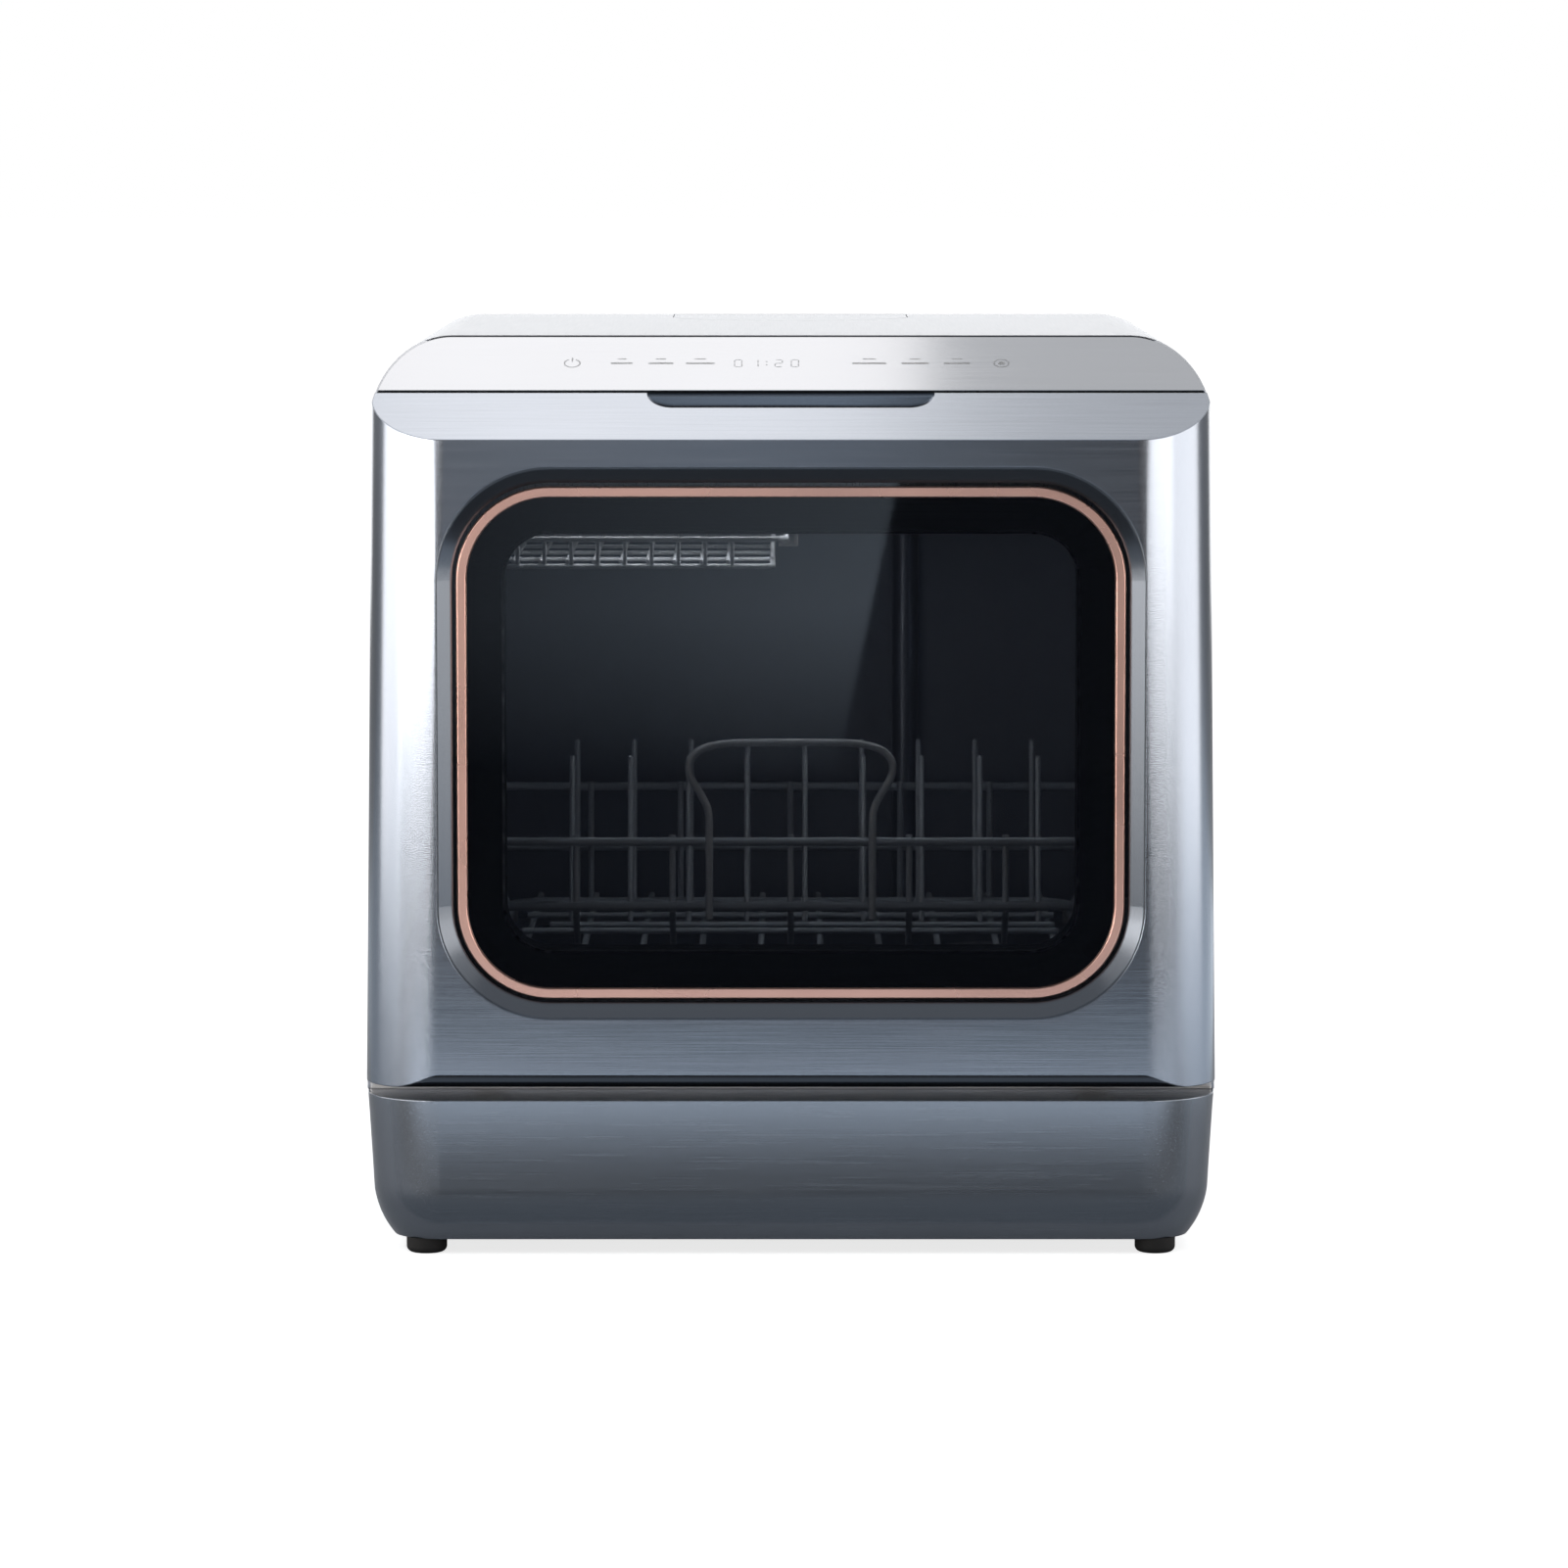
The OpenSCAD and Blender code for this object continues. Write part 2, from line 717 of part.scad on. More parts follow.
module heater() {
    z = pan_z + 26;
    x = hw - 60;
    color([0.7, 0.7, 0.72]) {
        rod([x, -70, z], [x, 40, z], 34);
        for (y = [-60, 30]) translate([x - 10, y - 4, pan_z + 2]) cube([20, 8, 12]);
    }
}

module power_board() {
    color([0.15, 0.2, 0.35]) translate([hw - 110, yb - 105, pan_z + 2]) {
        cube([70, 60, 3]);
        translate([6, 6, 3]) cube([26, 20, 24]);
        translate([40, 10, 3]) cube([20, 40, 14]);
        translate([14, 44, 3]) cylinder(r = 8, h = 20);
    }
}

module water_tank() {
    w = tub_w + 8;
    wall = 2;
    color([0.86, 0.88, 0.9, 0.6]) difference() {
        translate([0, (tank_y0 + tank_y1) / 2, tank_z0]) linear_extrude(tank_z1 - tank_z0)
            round_rect(w, tank_y1 - tank_y0, 8);
        translate([0, (tank_y0 + tank_y1) / 2, tank_z0 + wall])
            linear_extrude(tank_z1 - tank_z0 - 2 * wall)
            round_rect(w - 2 * wall, tank_y1 - tank_y0 - 2 * wall, 8 - wall);
        translate([0, fill_y, tank_z1 - 5]) cylinder(r = fill_bore, h = 10);
    }
}

fill_bore = min(fill_r, (tank_y1 - tank_y0) / 2 - 6);

// dish under the hatch with the filling neck down to the tank
module fill_basin() {
    wall = 1.8;
    color([0.25, 0.26, 0.28]) difference() {
        union() {
            translate([0, 0, basin_z]) linear_extrude(body_h - wrap_t - basin_z)
                hatch_plan(hatch_gap + wall);
            translate([0, fill_y, tank_z1]) cylinder(r = fill_bore + 2, h = basin_z - tank_z1 + 1);
        }
        translate([0, 0, basin_z + 2]) linear_extrude(20) hatch_plan(hatch_gap);
        translate([0, fill_y, tank_z1 - 1]) cylinder(r = fill_bore, h = 60);
        hatch_pin(hinge_play);
    }
}

hinge_play = 0.05;

module hatch_pin(play) {
    r = 1 + play;
    reach = hatch_w / 2 + 1.6 + play;
    rod([-reach, hatch_axis_y, hatch_axis_z], [reach, hatch_axis_y, hatch_axis_z], 2 * r);
}

module fill_hatch() {
    color([0.6, 0.62, 0.64]) {
        difference() {
            union() {
                translate([0, 0, body_h - hatch_t]) linear_extrude(hatch_t) hatch_plan(0);
                rod([-hatch_w / 2, hatch_axis_y, hatch_axis_z],
                    [hatch_w / 2, hatch_axis_y, hatch_axis_z], hatch_t);
            }
            // finger scoop at the front of the lid's underside
            translate([-12, hatch_y0 - 5, body_h - hatch_t - 1]) cube([24, 14, 2.2]);
        }
        hatch_pin(0);
    }
}

module inlet_valve() {
    color([0.25, 0.3, 0.55]) {
        difference() {
            rod([niche_x - 30, niche_y, service_z],
                [niche_x - 30, niche_y + inlet_l, service_z], 2 * inlet_r);
            rod([niche_x - 30, niche_y + 3, service_z], [niche_x - 30, yb, service_z], 2 * inlet_r - 7);
        }
        translate([niche_x - 44, niche_y - 32, service_z - 12]) cube([28, 30, 26]);
    }
}

module drain_spigot() {
    color([0.1, 0.1, 0.1]) difference() {
        rod([niche_x + 34, niche_y, service_z], [niche_x + 34, niche_y + drain_l, service_z], 2 * drain_r);
        rod([niche_x + 34, niche_y - 1, service_z], [niche_x + 34, yb, service_z], 2 * drain_r - 5);
    }
}

module cable_gland() {
    x = niche_x + 4;
    color([0.06, 0.06, 0.06]) difference() {
        union() {
            rod([x, niche_y, service_z], [x, niche_y + 3, service_z], 18);
            rod([x, niche_y, service_z], [x, niche_y + 14, service_z], 13);
        }
        rod([x, niche_y + 2, service_z], [x, yb, service_z], 7);
    }
}

hub_r = 5.5;
hinge_pin_r = 2.5;
arm_out = hw - 53;
arm_in = arm_out - 14;
arm_rise = 0.6;

module hinge_bracket(sx) {
    x0 = sx > 0 ? arm_in : -arm_out;
    w = arm_out - arm_in;
    color([0.55, 0.56, 0.58]) difference() {
        union() {
            rod([x0, hinge_y, hinge_z], [x0 + w, hinge_y, hinge_z], 2 * hub_r);
            translate([x0, hinge_y, hinge_z + arm_rise]) cube([w, front_y - hinge_y, hub_r - arm_rise]);
            translate([x0, front_y - 1.4, hinge_z - 4]) cube([w, 1.4, 14]);
        }
        rod([x0 - 1, hinge_y, hinge_z], [x0 + w + 1, hinge_y, hinge_z], 2 * hinge_pin_r);
    }
}

module hinge_bracket_left() { hinge_bracket(-1); }
module hinge_bracket_right() { hinge_bracket(1); }

module hinge_pins() {
    color([0.8, 0.8, 0.8]) both_sides()
        rod([arm_in - 6, hinge_y, hinge_z], [arm_out + 6, hinge_y, hinge_z], 2 * hinge_pin_r);
}

module latch_housing() {
    color([0.1, 0.1, 0.1]) translate([0, tub_y0, latch_z - 6]) difference() {
        translate([-17, 0, 0]) cube([34, 26, 20]);
        translate([-12, -1, 2]) cube([24, 24, 14]);
    }
}

rail_shelf = 1.6;
rail_reach = 5;
rail_z0 = tray_top - tray_wire / 2 - 0.3 - rail_shelf;
hanger_ys = [arm_y - upper_arm_l / 2 - 10, arm_y + upper_arm_l / 2 + 2];

module tray_rail_left() {
    color([0.72, 0.73, 0.74]) {
        translate([-tub_w / 2, tray_y0 - 4, rail_z0])
            cube([tray_x0 + rail_reach + tub_w / 2, tray_d + 10, rail_shelf]);
        translate([-tub_w / 2, tray_y0 - 4, rail_z0 - 8]) cube([1.6, tray_d + 10, 8]);
    }
}

module tray_rail_right() {
    web_x = tray_x1 + 3;
    color([0.72, 0.73, 0.74]) {
        translate([tray_x1 - rail_reach, tray_y0 - 4, rail_z0])
            cube([web_x - tray_x1 + rail_reach + 1.6, tray_d + 10, rail_shelf]);
        translate([web_x, tray_y0 - 4, rail_z0]) cube([1.6, tray_d + 10, 6]);
        for (y = hanger_ys) translate([web_x, y, rail_z0]) cube([1.6, 8, ceiling_z - rail_z0]);
    }
}

// bars of welded wire: each is its own piece and ends where it meets the wire it is welded to
module cutlery_tray() {
    inset = 8;
    bar_d = tray_wire - 0.5;
    r = tray_wire / 2;
    reach = r + weld;
    xm = (tray_x0 + tray_x1) / 2;
    ym = (tray_y0 + tray_y1) / 2;
    bar_z = tray_floor + r + bar_d / 2 + weld;
    count = floor((tray_w - 2 * inset - 18) / tray_pitch);
    color([0.75, 0.76, 0.78]) {
        translate([xm, ym, tray_top])
            ring_sweep(tray_w - tray_wire, tray_d - tray_wire, 10) circle(r);
        translate([xm, ym, tray_floor])
            ring_sweep(tray_w - 2 * inset, tray_d - 2 * inset, 8) circle(r);
        for (k = [0:count]) {
            x = tray_x0 + inset + 8 + tray_pitch * k;
            beside = x + bar_d + weld;
            rod([x, tray_y0 + inset - 1, bar_z], [x, tray_y1 - inset + 1, bar_z], bar_d);
            straight_bar([beside, tray_y0 + r, tray_top],
                [beside, tray_y0 + inset, tray_floor], bar_d, reach);
            straight_bar([beside, tray_y1 - r, tray_top],
                [beside, tray_y1 - inset, tray_floor], bar_d, reach);
        }
        for (k = [1:4]) {
            y = tray_y0 + inset + k * (tray_d - 2 * inset) / 5;
            z = bar_z - bar_d - weld;
            straight_bar([tray_x0 + inset, y, z], [tray_x1 - inset, y, z], bar_d, reach);
            for (s = [-1, 1]) {
                x = xm + s * (tray_w / 2 - inset);
                bent_bar([x + s * (inset - r - reach), y, tray_top], [x, y, tray_top],
                    [x, y, tray_floor], bar_d, reach);
            }
        }
    }
}

// bar between two wires, ended against their round sides
module straight_bar(a, b, d, reach) {
    v = (b - a) / norm(b - a);
    rod(a + v * reach, b - v * reach, d);
}

// bar from a over the bend b, ended against the round side of the wire at c
module bent_bar(a, b, c, d, reach) {
    v = (c - b) / norm(c - b);
    rod(b, a, d);
    ball(b, d + 0.1);
    rod(b, c - v * reach, d);
}

module front_opening_cuts() {
    // finger recess
    translate([0, door_y, seam_z - recess_depth]) linear_extrude(200) recess_plan(0);
    // way for the hinge brackets as the door swings
    both_sides() translate([arm_in - 1, hinge_y, -1])
        cube([arm_out - arm_in + 2, far, hinge_z + hub_r + 2]);
}

module door_front_panel() {
    color([0.42, 0.49, 0.56]) difference() {
        door_form(0, door_y);
        door_form(skin_t, door_y + 5);
        along_y(yf - 20, door_y - 20) translate([0, window_z]) round_rect(bezel_w, bezel_h, bezel_r);
        front_opening_cuts();
    }
}

module window_bezel() {
    color([0.5, 0.53, 0.56]) facing(yf, window_z) ring_sweep(bezel_w, bezel_h, bezel_r)
        polygon([[0, 0], [-0.8, 0], [-bezel_band, -glass_depth],
            [-bezel_band, -glass_depth - pane_t],
            [-bezel_band + 2, -glass_depth - pane_t], [0, -skin_t - 2]]);
}

module trim_ring() {
    color([0.8, 0.6, 0.52]) facing(pane_y, window_z) ring_sweep(trim_w, trim_h, trim_r)
        polygon([[0, 0], [-0.7, 1.5], [-trim_band + 0.7, 1.5], [-trim_band, 0]]);
}

module outer_glass() {
    color([0.02, 0.02, 0.025, 0.5]) along_y(pane_y, pane_y + pane_t) translate([0, window_z])
        round_rect(bezel_w - 2 * bezel_band, bezel_h - 2 * bezel_band, bezel_r - bezel_band);
}

module clear_outline(o) {
    translate([0, window_z]) round_rect(clear_w + 2 * o, clear_h + 2 * o, clear_r + o);
}

inner_pane_y = door_y - inner_sheet - pane_t;

module window_tunnel() {
    y = pane_y + pane_t;
    color([0.03, 0.03, 0.035]) difference() {
        union() {
            along_y(y, y + border_t) clear_outline(trim_band + border_band - 1);
            along_y(y, inner_pane_y) clear_outline(tunnel_wall);
        }
        along_y(y - 1, inner_pane_y + 1) clear_outline(0);
    }
}

module inner_glass() {
    color([0.7, 0.75, 0.75, 0.4]) along_y(inner_pane_y, inner_pane_y + pane_t) clear_outline(tunnel_wall + 3);
}

cup_w = 26;
cup_h = 70;
cup_x = (tub_w + clear_w) / 4 + 2;
cup_z = ledge_z + 88;
cup_depth = 20;
lid_t = 2;
lid_w = cup_w + 1;
lid_h = cup_h + 4;
lid_travel = 40;

module cup_outline(o) {
    translate([cup_x, cup_z]) round_rect(cup_w + 2 * o, cup_h + 2 * o, 5 + o);
}

module door_inner_panel() {
    color([0.7, 0.71, 0.72]) difference() {
        intersection() {
            door_form(skin_t, door_y);
            translate([-far, door_y - inner_sheet, 0]) cube([2 * far, 10, far]);
        }
        along_y(door_y - 5, door_y + 1) clear_outline(3);
        along_y(door_y - 5, door_y + 1) cup_outline(0);
        translate([-recess_w / 2, door_y - 5, seam_z - recess_depth + 10]) cube([recess_w, 10, 60]);
        both_sides() translate([arm_in - 1, door_y - 5, -1])
            cube([arm_out - arm_in + 2, 10, hinge_z + hub_r + 2]);
    }
}

module handle_cup() {
    wall = 1.4;
    z = seam_z - recess_depth;
    color([0.1, 0.11, 0.13]) difference() {
        intersection() {
            door_form(skin_t, door_y - inner_sheet);
            translate([0, door_y, z - wall]) linear_extrude(200) recess_plan(wall);
        }
        translate([0, door_y, z]) linear_extrude(200) recess_plan(0);
    }
}

module latch_hook() {
    color([0.75, 0.75, 0.75]) {
        translate([-10, door_y, latch_z - 5]) cube([20, 1.6, 12]);
        translate([-6, door_y, latch_z - 2.5]) cube([12, 17, 3]);
        translate([-6, door_y + 13, latch_z - 2.5]) cube([12, 4, 5]);
    }
}

// cup in the door's lining with guides for its sliding lid
module detergent_cup() {
    wall = 1.4;
    guide_w = 1.6;
    y0 = door_y - inner_sheet - cup_depth;
    gx = lid_w / 2 + 0.3;
    color([0.2, 0.21, 0.23]) {
        difference() {
            along_y(y0, door_y) cup_outline(0);
            along_y(y0 + wall, door_y + 1) cup_outline(-wall);
        }
        for (s = [-1, 1]) {
            translate([cup_x + s * (gx + guide_w / 2) - guide_w / 2, door_y, cup_z - lid_h / 2])
                cube([guide_w, lid_t + 1.6, lid_h + lid_travel]);
            translate([cup_x + s * (gx + guide_w / 2 - 1) - guide_w / 2 - 0.4,
                    door_y + lid_t + 0.6, cup_z - lid_h / 2])
                cube([guide_w + 0.8, 1, lid_h + lid_travel]);
        }
    }
}

module detergent_lid() {
    color([0.55, 0.57, 0.6]) {
        translate([cup_x - lid_w / 2, door_y + 0.3, cup_z - lid_h / 2]) cube([lid_w, lid_t, lid_h]);
        translate([cup_x - 8, door_y + 0.3, cup_z + lid_h / 2 - 10]) cube([16, lid_t + 1.2, 4]);
    }
}

module door_hinge(sx) {
    ear = 4.5;
    y1 = door_y - inner_sheet;
    color([0.55, 0.56, 0.58]) for (x = [arm_in - 1.5 - ear, arm_out + 1.5]) {
        x0 = sx > 0 ? x : -x - ear;
        difference() {
            union() {
                rod([x0, hinge_y, hinge_z], [x0 + ear, hinge_y, hinge_z], 12);
                translate([x0, hinge_y - 4, hinge_z + 1]) cube([ear, y1 - hinge_y + 4, 16]);
            }
            rod([x0 - 1, hinge_y, hinge_z], [x0 + ear + 1, hinge_y, hinge_z], 2 * (hinge_pin_r + hinge_play));
        }
    }
}

module door_hinge_left() { door_hinge(-1); }
module door_hinge_right() { door_hinge(1); }

rail_reach_in = rail_d / 2 + wire_d / 2 + weld;
floor_top = floor_z + rail_reach_in;
cross_z = floor_top + wire_d + weld;
front_xs = [for (f = [-0.313, -0.1725, 0, 0.1725, 0.313]) f * rack_w];
side_ys = [for (k = [0:4]) rack_y0 + 50 + k * (rack_d - 84) / 4];

// two rails round the rack and the ring of its floor
module rack_rails() {
    color([0.72, 0.74, 0.77]) {
        for (z = [rail_z, mid_z]) translate([0, (rack_y0 + rack_y1) / 2, z])
            ring_sweep(rack_w - rail_d, rack_d - rail_d, 22) circle(d = rail_d);
        translate([0, (floor_y0 + floor_y1) / 2, floor_z])
            ring_sweep(floor_w, floor_y1 - floor_y0, 14) circle(d = rail_d);
    }
}

// uprights inside the rails and wires across the floor ring, welded where they meet
module rack_basket() {
    y0 = rack_y0 + rail_d / 2 + rail_reach_in;
    y1 = rack_y1 - rail_d / 2 - rail_reach_in;
    x1 = rack_w / 2 - rail_d / 2 - rail_reach_in;
    end = rail_d / 2 + weld;
    color([0.72, 0.74, 0.77]) {
        for (x = front_xs) {
            bent_bar([x, y0, rail_z + 3], [x, y0, mid_z - 3], [x, floor_y0, floor_z], wire_d, end);
            bent_bar([x, y1, rail_z + 3], [x, y1, mid_z - 3], [x, floor_y1, floor_z], wire_d, end);
        }
        for (y = side_ys, s = [-1, 1])
            bent_bar([s * x1, y, rail_z + 3], [s * x1, y, mid_z - 3],
                [s * floor_w / 2, y, floor_z], wire_d, end);
        for (k = [-4.5:4.5]) {
            x = k * floor_w / 10;
            rod([x, floor_y0 - 1, floor_top], [x, floor_y1 + 1, floor_top], wire_d);
        }
        for (y = [floor_y0 + 50, (floor_y0 + floor_y1) / 2, floor_y1 - 50])
            rod([-floor_w / 2 + 12, y, cross_z], [floor_w / 2 - 12, y, cross_z], wire_d);
    }
}

// raised loop welded to the front of the rails
module rack_grip() {
    d = wire_d + 0.6;
    y = rack_y0 - d / 2 - weld;
    path = [[40.5, mid_z - 6], [40.5, rail_z + 18], [51, rail_z + 33], [51, rail_z + 40],
        [42, rail_z + 50]];
    last = len(path) - 1;
    color([0.72, 0.74, 0.77]) {
        both_sides() for (k = [0:last - 1]) {
            rod([path[k][0], y, path[k][1]], [path[k + 1][0], y, path[k + 1][1]], d);
            ball([path[k + 1][0], y, path[k + 1][1]], d + 0.1);
        }
        rod([-path[last][0], y, path[last][1]], [path[last][0], y, path[last][1]], d);
    }
}

module rack_axles() {
    color([0.72, 0.74, 0.77]) for (s = [-1, 1], y = wheel_ys) wheel_axle(s, y);
}

// axle on a block under the floor ring
module wheel_axle(s, y) {
    x0 = floor_w / 2 - 3;
    x1 = wheel_x + wheel_w / 2 + 0.3;
    block_top = floor_z - rail_d / 2 - weld;
    translate([s > 0 ? x0 : -x0 - 5, y - 4, wheel_z - 4]) cube([5, 8, block_top - wheel_z + 4]);
    rod([s * x0, y, wheel_z], [s * (wheel_x - wheel_w / 2 - 0.3), y, wheel_z], 2 * axle_r + 0.6);
    rod([s * x0, y, wheel_z], [s * (x1 + 1.6), y, wheel_z], 2 * axle_r);
    rod([s * x1, y, wheel_z], [s * (x1 + 1.6), y, wheel_z], 7);
}

// two rows of tines, each on a wire that lies across the floor wires
module rack_tines() {
    rows = [floor_y0 + 76, floor_y1 - 66];
    n = floor((floor_w / 2 - 20) / tine_pitch);
    foot_z = cross_z + wire_d / 2 + weld;
    color([0.72, 0.74, 0.77]) for (y = rows) {
        rod([-n * tine_pitch - 4, y, cross_z], [n * tine_pitch + 16, y, cross_z], wire_d);
        for (k = [-n:n]) {
            x = k * tine_pitch + tine_pitch / 4;
            pin([x, y, foot_z], [x, y + 12, floor_z + tine_h], wire_d - 0.4);
        }
    }
}

module rack_wheel(s, y) {
    color([0.25, 0.26, 0.28]) translate([s * wheel_x, y, wheel_z]) rotate([0, 90, 0]) difference() {
        cylinder(r = wheel_r, h = wheel_w, center = true);
        cylinder(r = axle_r + 0.06, h = wheel_w + 2, center = true);
        for (e = [-1, 1], k = [0:4]) rotate(72 * k)
            translate([4.9, 0, e * wheel_w / 2]) cylinder(r = 1.1, h = 2, center = true);
    }
}

module rack_wheel_front_left() { rack_wheel(-1, wheel_ys[0]); }
module rack_wheel_front_right() { rack_wheel(1, wheel_ys[0]); }
module rack_wheel_rear_left() { rack_wheel(-1, wheel_ys[1]); }
module rack_wheel_rear_right() { rack_wheel(1, wheel_ys[1]); }

cabinet_wrap();
control_fascia();
control_board();
base_shell();
base_pan();
foot_front_left();
foot_front_right();
foot_rear_left();
foot_rear_right();
rear_panel();
rear_screws();
front_frame();
tub();
tub_gasket();
sump();
filter_plate();
spray_hub();
upper_feed_pipe();
wash_pump();
drain_pump();
heater();
water_tank();
fill_basin();
inlet_valve();
drain_spigot();
cable_gland();
power_board();
hinge_bracket_left();
hinge_bracket_right();
hinge_pins();
latch_housing();
tray_rail_left();
tray_rail_right();
filter_cup();
spray_arm_lower();
spray_arm_upper();
fill_hatch();
door_front_panel();
window_bezel();
trim_ring();
outer_glass();
window_tunnel();
inner_glass();
door_inner_panel();
handle_cup();
latch_hook();
detergent_cup();
detergent_lid();
door_hinge_left();
door_hinge_right();
rack_rails();
rack_basket();
rack_tines();
rack_grip();
rack_axles();
rack_wheel_front_left();
rack_wheel_front_right();
rack_wheel_rear_left();
rack_wheel_rear_right();
cutlery_tray();
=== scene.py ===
"""Countertop dishwasher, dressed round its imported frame.

Everything is in metres in the frame of the CAD model: the floor is z = 0, the door faces -Y and the
origin is under the middle of the case.
"""

from __future__ import annotations

import logging
import math
from abc import ABC, abstractmethod
from dataclasses import dataclass, field
from enum import Enum
from typing import ClassVar, Iterable, Sequence

import bmesh
import bpy
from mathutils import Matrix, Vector

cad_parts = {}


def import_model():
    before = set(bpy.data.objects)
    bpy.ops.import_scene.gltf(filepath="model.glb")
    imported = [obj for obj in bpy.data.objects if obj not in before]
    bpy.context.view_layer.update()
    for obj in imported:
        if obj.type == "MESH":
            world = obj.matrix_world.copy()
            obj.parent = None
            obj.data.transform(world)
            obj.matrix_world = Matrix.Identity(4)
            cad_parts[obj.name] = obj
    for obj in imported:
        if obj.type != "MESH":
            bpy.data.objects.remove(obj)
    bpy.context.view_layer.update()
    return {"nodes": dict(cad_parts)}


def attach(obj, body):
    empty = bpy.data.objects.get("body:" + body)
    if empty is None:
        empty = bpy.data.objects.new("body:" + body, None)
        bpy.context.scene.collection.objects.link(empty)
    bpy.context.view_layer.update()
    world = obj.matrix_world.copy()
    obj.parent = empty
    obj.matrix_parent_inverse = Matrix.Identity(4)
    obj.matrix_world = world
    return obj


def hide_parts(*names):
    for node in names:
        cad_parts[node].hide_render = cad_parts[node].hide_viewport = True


LOG = logging.getLogger("dishwasher")
Point2 = tuple[float, float]
Point3 = tuple[float, float, float]
Rgb = tuple[float, float, float]
MeshData = tuple[list[Point3], list[list[int]]]
EVEN: Point3 = (1.0, 1.0, 1.0)
WHITE: Rgb = (1.0, 1.0, 1.0)
WARM: Rgb = (1.0, 0.91, 0.82)


class Grain(Enum):
    """Which way a brushed surface is drawn, as the stretch of its noise along X, Y and Z."""

    ALONG_X = (2.5, 420.0, 420.0)
    ALONG_Y = (420.0, 2.5, 420.0)
    ALONG_Z = (420.0, 420.0, 2.5)
    NONE = (60.0, 60.0, 60.0)


class NodeBench:
    """A material's node tree with short calls for the nodes that the finishes share."""

    EDGE_SAMPLES: ClassVar[int] = 6

    def __init__(self, name: str) -> None:
        """Starts an empty material.

        Args:
            name: the material's name.
        """
        self.material = bpy.data.materials.new(name)
        self.material.use_nodes = True
        self.tree = self.material.node_tree
        self.tree.nodes.clear()
        self.output = self.tree.nodes.new("ShaderNodeOutputMaterial")

    def node(self, kind: str, **inputs: object) -> bpy.types.Node:
        """Adds a node and sets or links its inputs.

        Args:
            kind: the node's type name.
            **inputs: socket names, with underscores for spaces, and their values or source sockets.

        Returns:
            The new node.
        """
        made = self.tree.nodes.new(kind)
        for key, value in inputs.items():
            self.feed(made.inputs[key.replace("_", " ")], value)
        return made

    def feed(self, socket: bpy.types.NodeSocket, value: object) -> None:
        """Links a socket to another one, or sets its plain value.

        Args:
            socket: the input to feed.
            value: an output socket, a number, or a colour of three numbers.
        """
        if isinstance(value, bpy.types.NodeSocket):
            self.tree.links.new(value, socket)
        elif socket.type == "RGBA" and len(value) == 3:
            socket.default_value = (*value, 1.0)
        else:
            socket.default_value = value

    def place(self, stretch: Sequence[float]) -> bpy.types.NodeSocket:
        """The object's own coordinates, stretched.

        Args:
            stretch: the factor along X, Y and Z.

        Returns:
            The vector socket.
        """
        coords = self.node("ShaderNodeTexCoord")
        mapped = self.node("ShaderNodeMapping", Vector=coords.outputs["Object"])
        mapped.inputs["Scale"].default_value = stretch
        return mapped.outputs["Vector"]

    def noise(self, stretch: Sequence[float], scale: float, detail: float = 3.0) -> bpy.types.NodeSocket:
        """Noise over the object's own coordinates.

        Args:
            stretch: the factor along X, Y and Z.
            scale: the noise's scale.
            detail: its octaves.

        Returns:
            The grey value's socket.
        """
        made = self.node("ShaderNodeTexNoise", Vector=self.place(stretch), Scale=scale, Detail=detail)
        return made.outputs["Fac"]

    def ramp(self, value: bpy.types.NodeSocket, low: float, high: float) -> bpy.types.NodeSocket:
        """Maps a grey value from 0..1 to low..high.

        Args:
            value: the grey value.
            low: what 0 becomes.
            high: what 1 becomes.

        Returns:
            The mapped value's socket.
        """
        made = self.node("ShaderNodeMapRange", Value=value, To_Min=low, To_Max=high)
        return made.outputs["Result"]

    def blend(self, value: bpy.types.NodeSocket, dark: Rgb, light: Rgb) -> bpy.types.NodeSocket:
        """Mixes two colours by a grey value.

        Args:
            value: the grey value.
            dark: the colour at 0.
            light: the colour at 1.

        Returns:
            The colour's socket.
        """
        made = self.tree.nodes.new("ShaderNodeMix")
        made.data_type = "RGBA"
        self.feed(made.inputs[0], value)
        made.inputs[6].default_value = (*dark, 1.0)
        made.inputs[7].default_value = (*light, 1.0)
        return made.outputs[2]

    def maths(self, operation: str, *values: object) -> bpy.types.NodeSocket:
        """A sum, product or other operation on grey values.

        Args:
            operation: the node's operation.
            *values: numbers or sockets.

        Returns:
            The result's socket.
        """
        made = self.tree.nodes.new("ShaderNodeMath")
        made.operation = operation
        for socket, value in zip(made.inputs, values):
            self.feed(socket, value)
        return made.outputs[0]

    def axis(self, letter: str) -> bpy.types.NodeSocket:
        """The object's own coordinate along one axis, in metres.

        Args:
            letter: X, Y or Z.

        Returns:
            The coordinate's socket.
        """
        coords = self.node("ShaderNodeTexCoord")
        apart = self.node("ShaderNodeSeparateXYZ", Vector=coords.outputs["Object"])
        return apart.outputs[letter]

    def bump(
        self, height: bpy.types.NodeSocket, strength: float, depth: float, edge: float
    ) -> bpy.types.NodeSocket:
        """Bump over softened edges.

        Args:
            height: the grey relief.
            strength: how much of it shows.
            depth: the relief's depth in metres.
            edge: the radius of the softened edges in metres.

        Returns:
            The normal's socket.
        """
        made = self.node("ShaderNodeBump", Height=height, Strength=strength, Distance=depth)
        soft = self.node("ShaderNodeBevel", Radius=edge)
        soft.samples = self.EDGE_SAMPLES
        self.feed(made.inputs["Normal"], soft.outputs["Normal"])
        return made.outputs["Normal"]

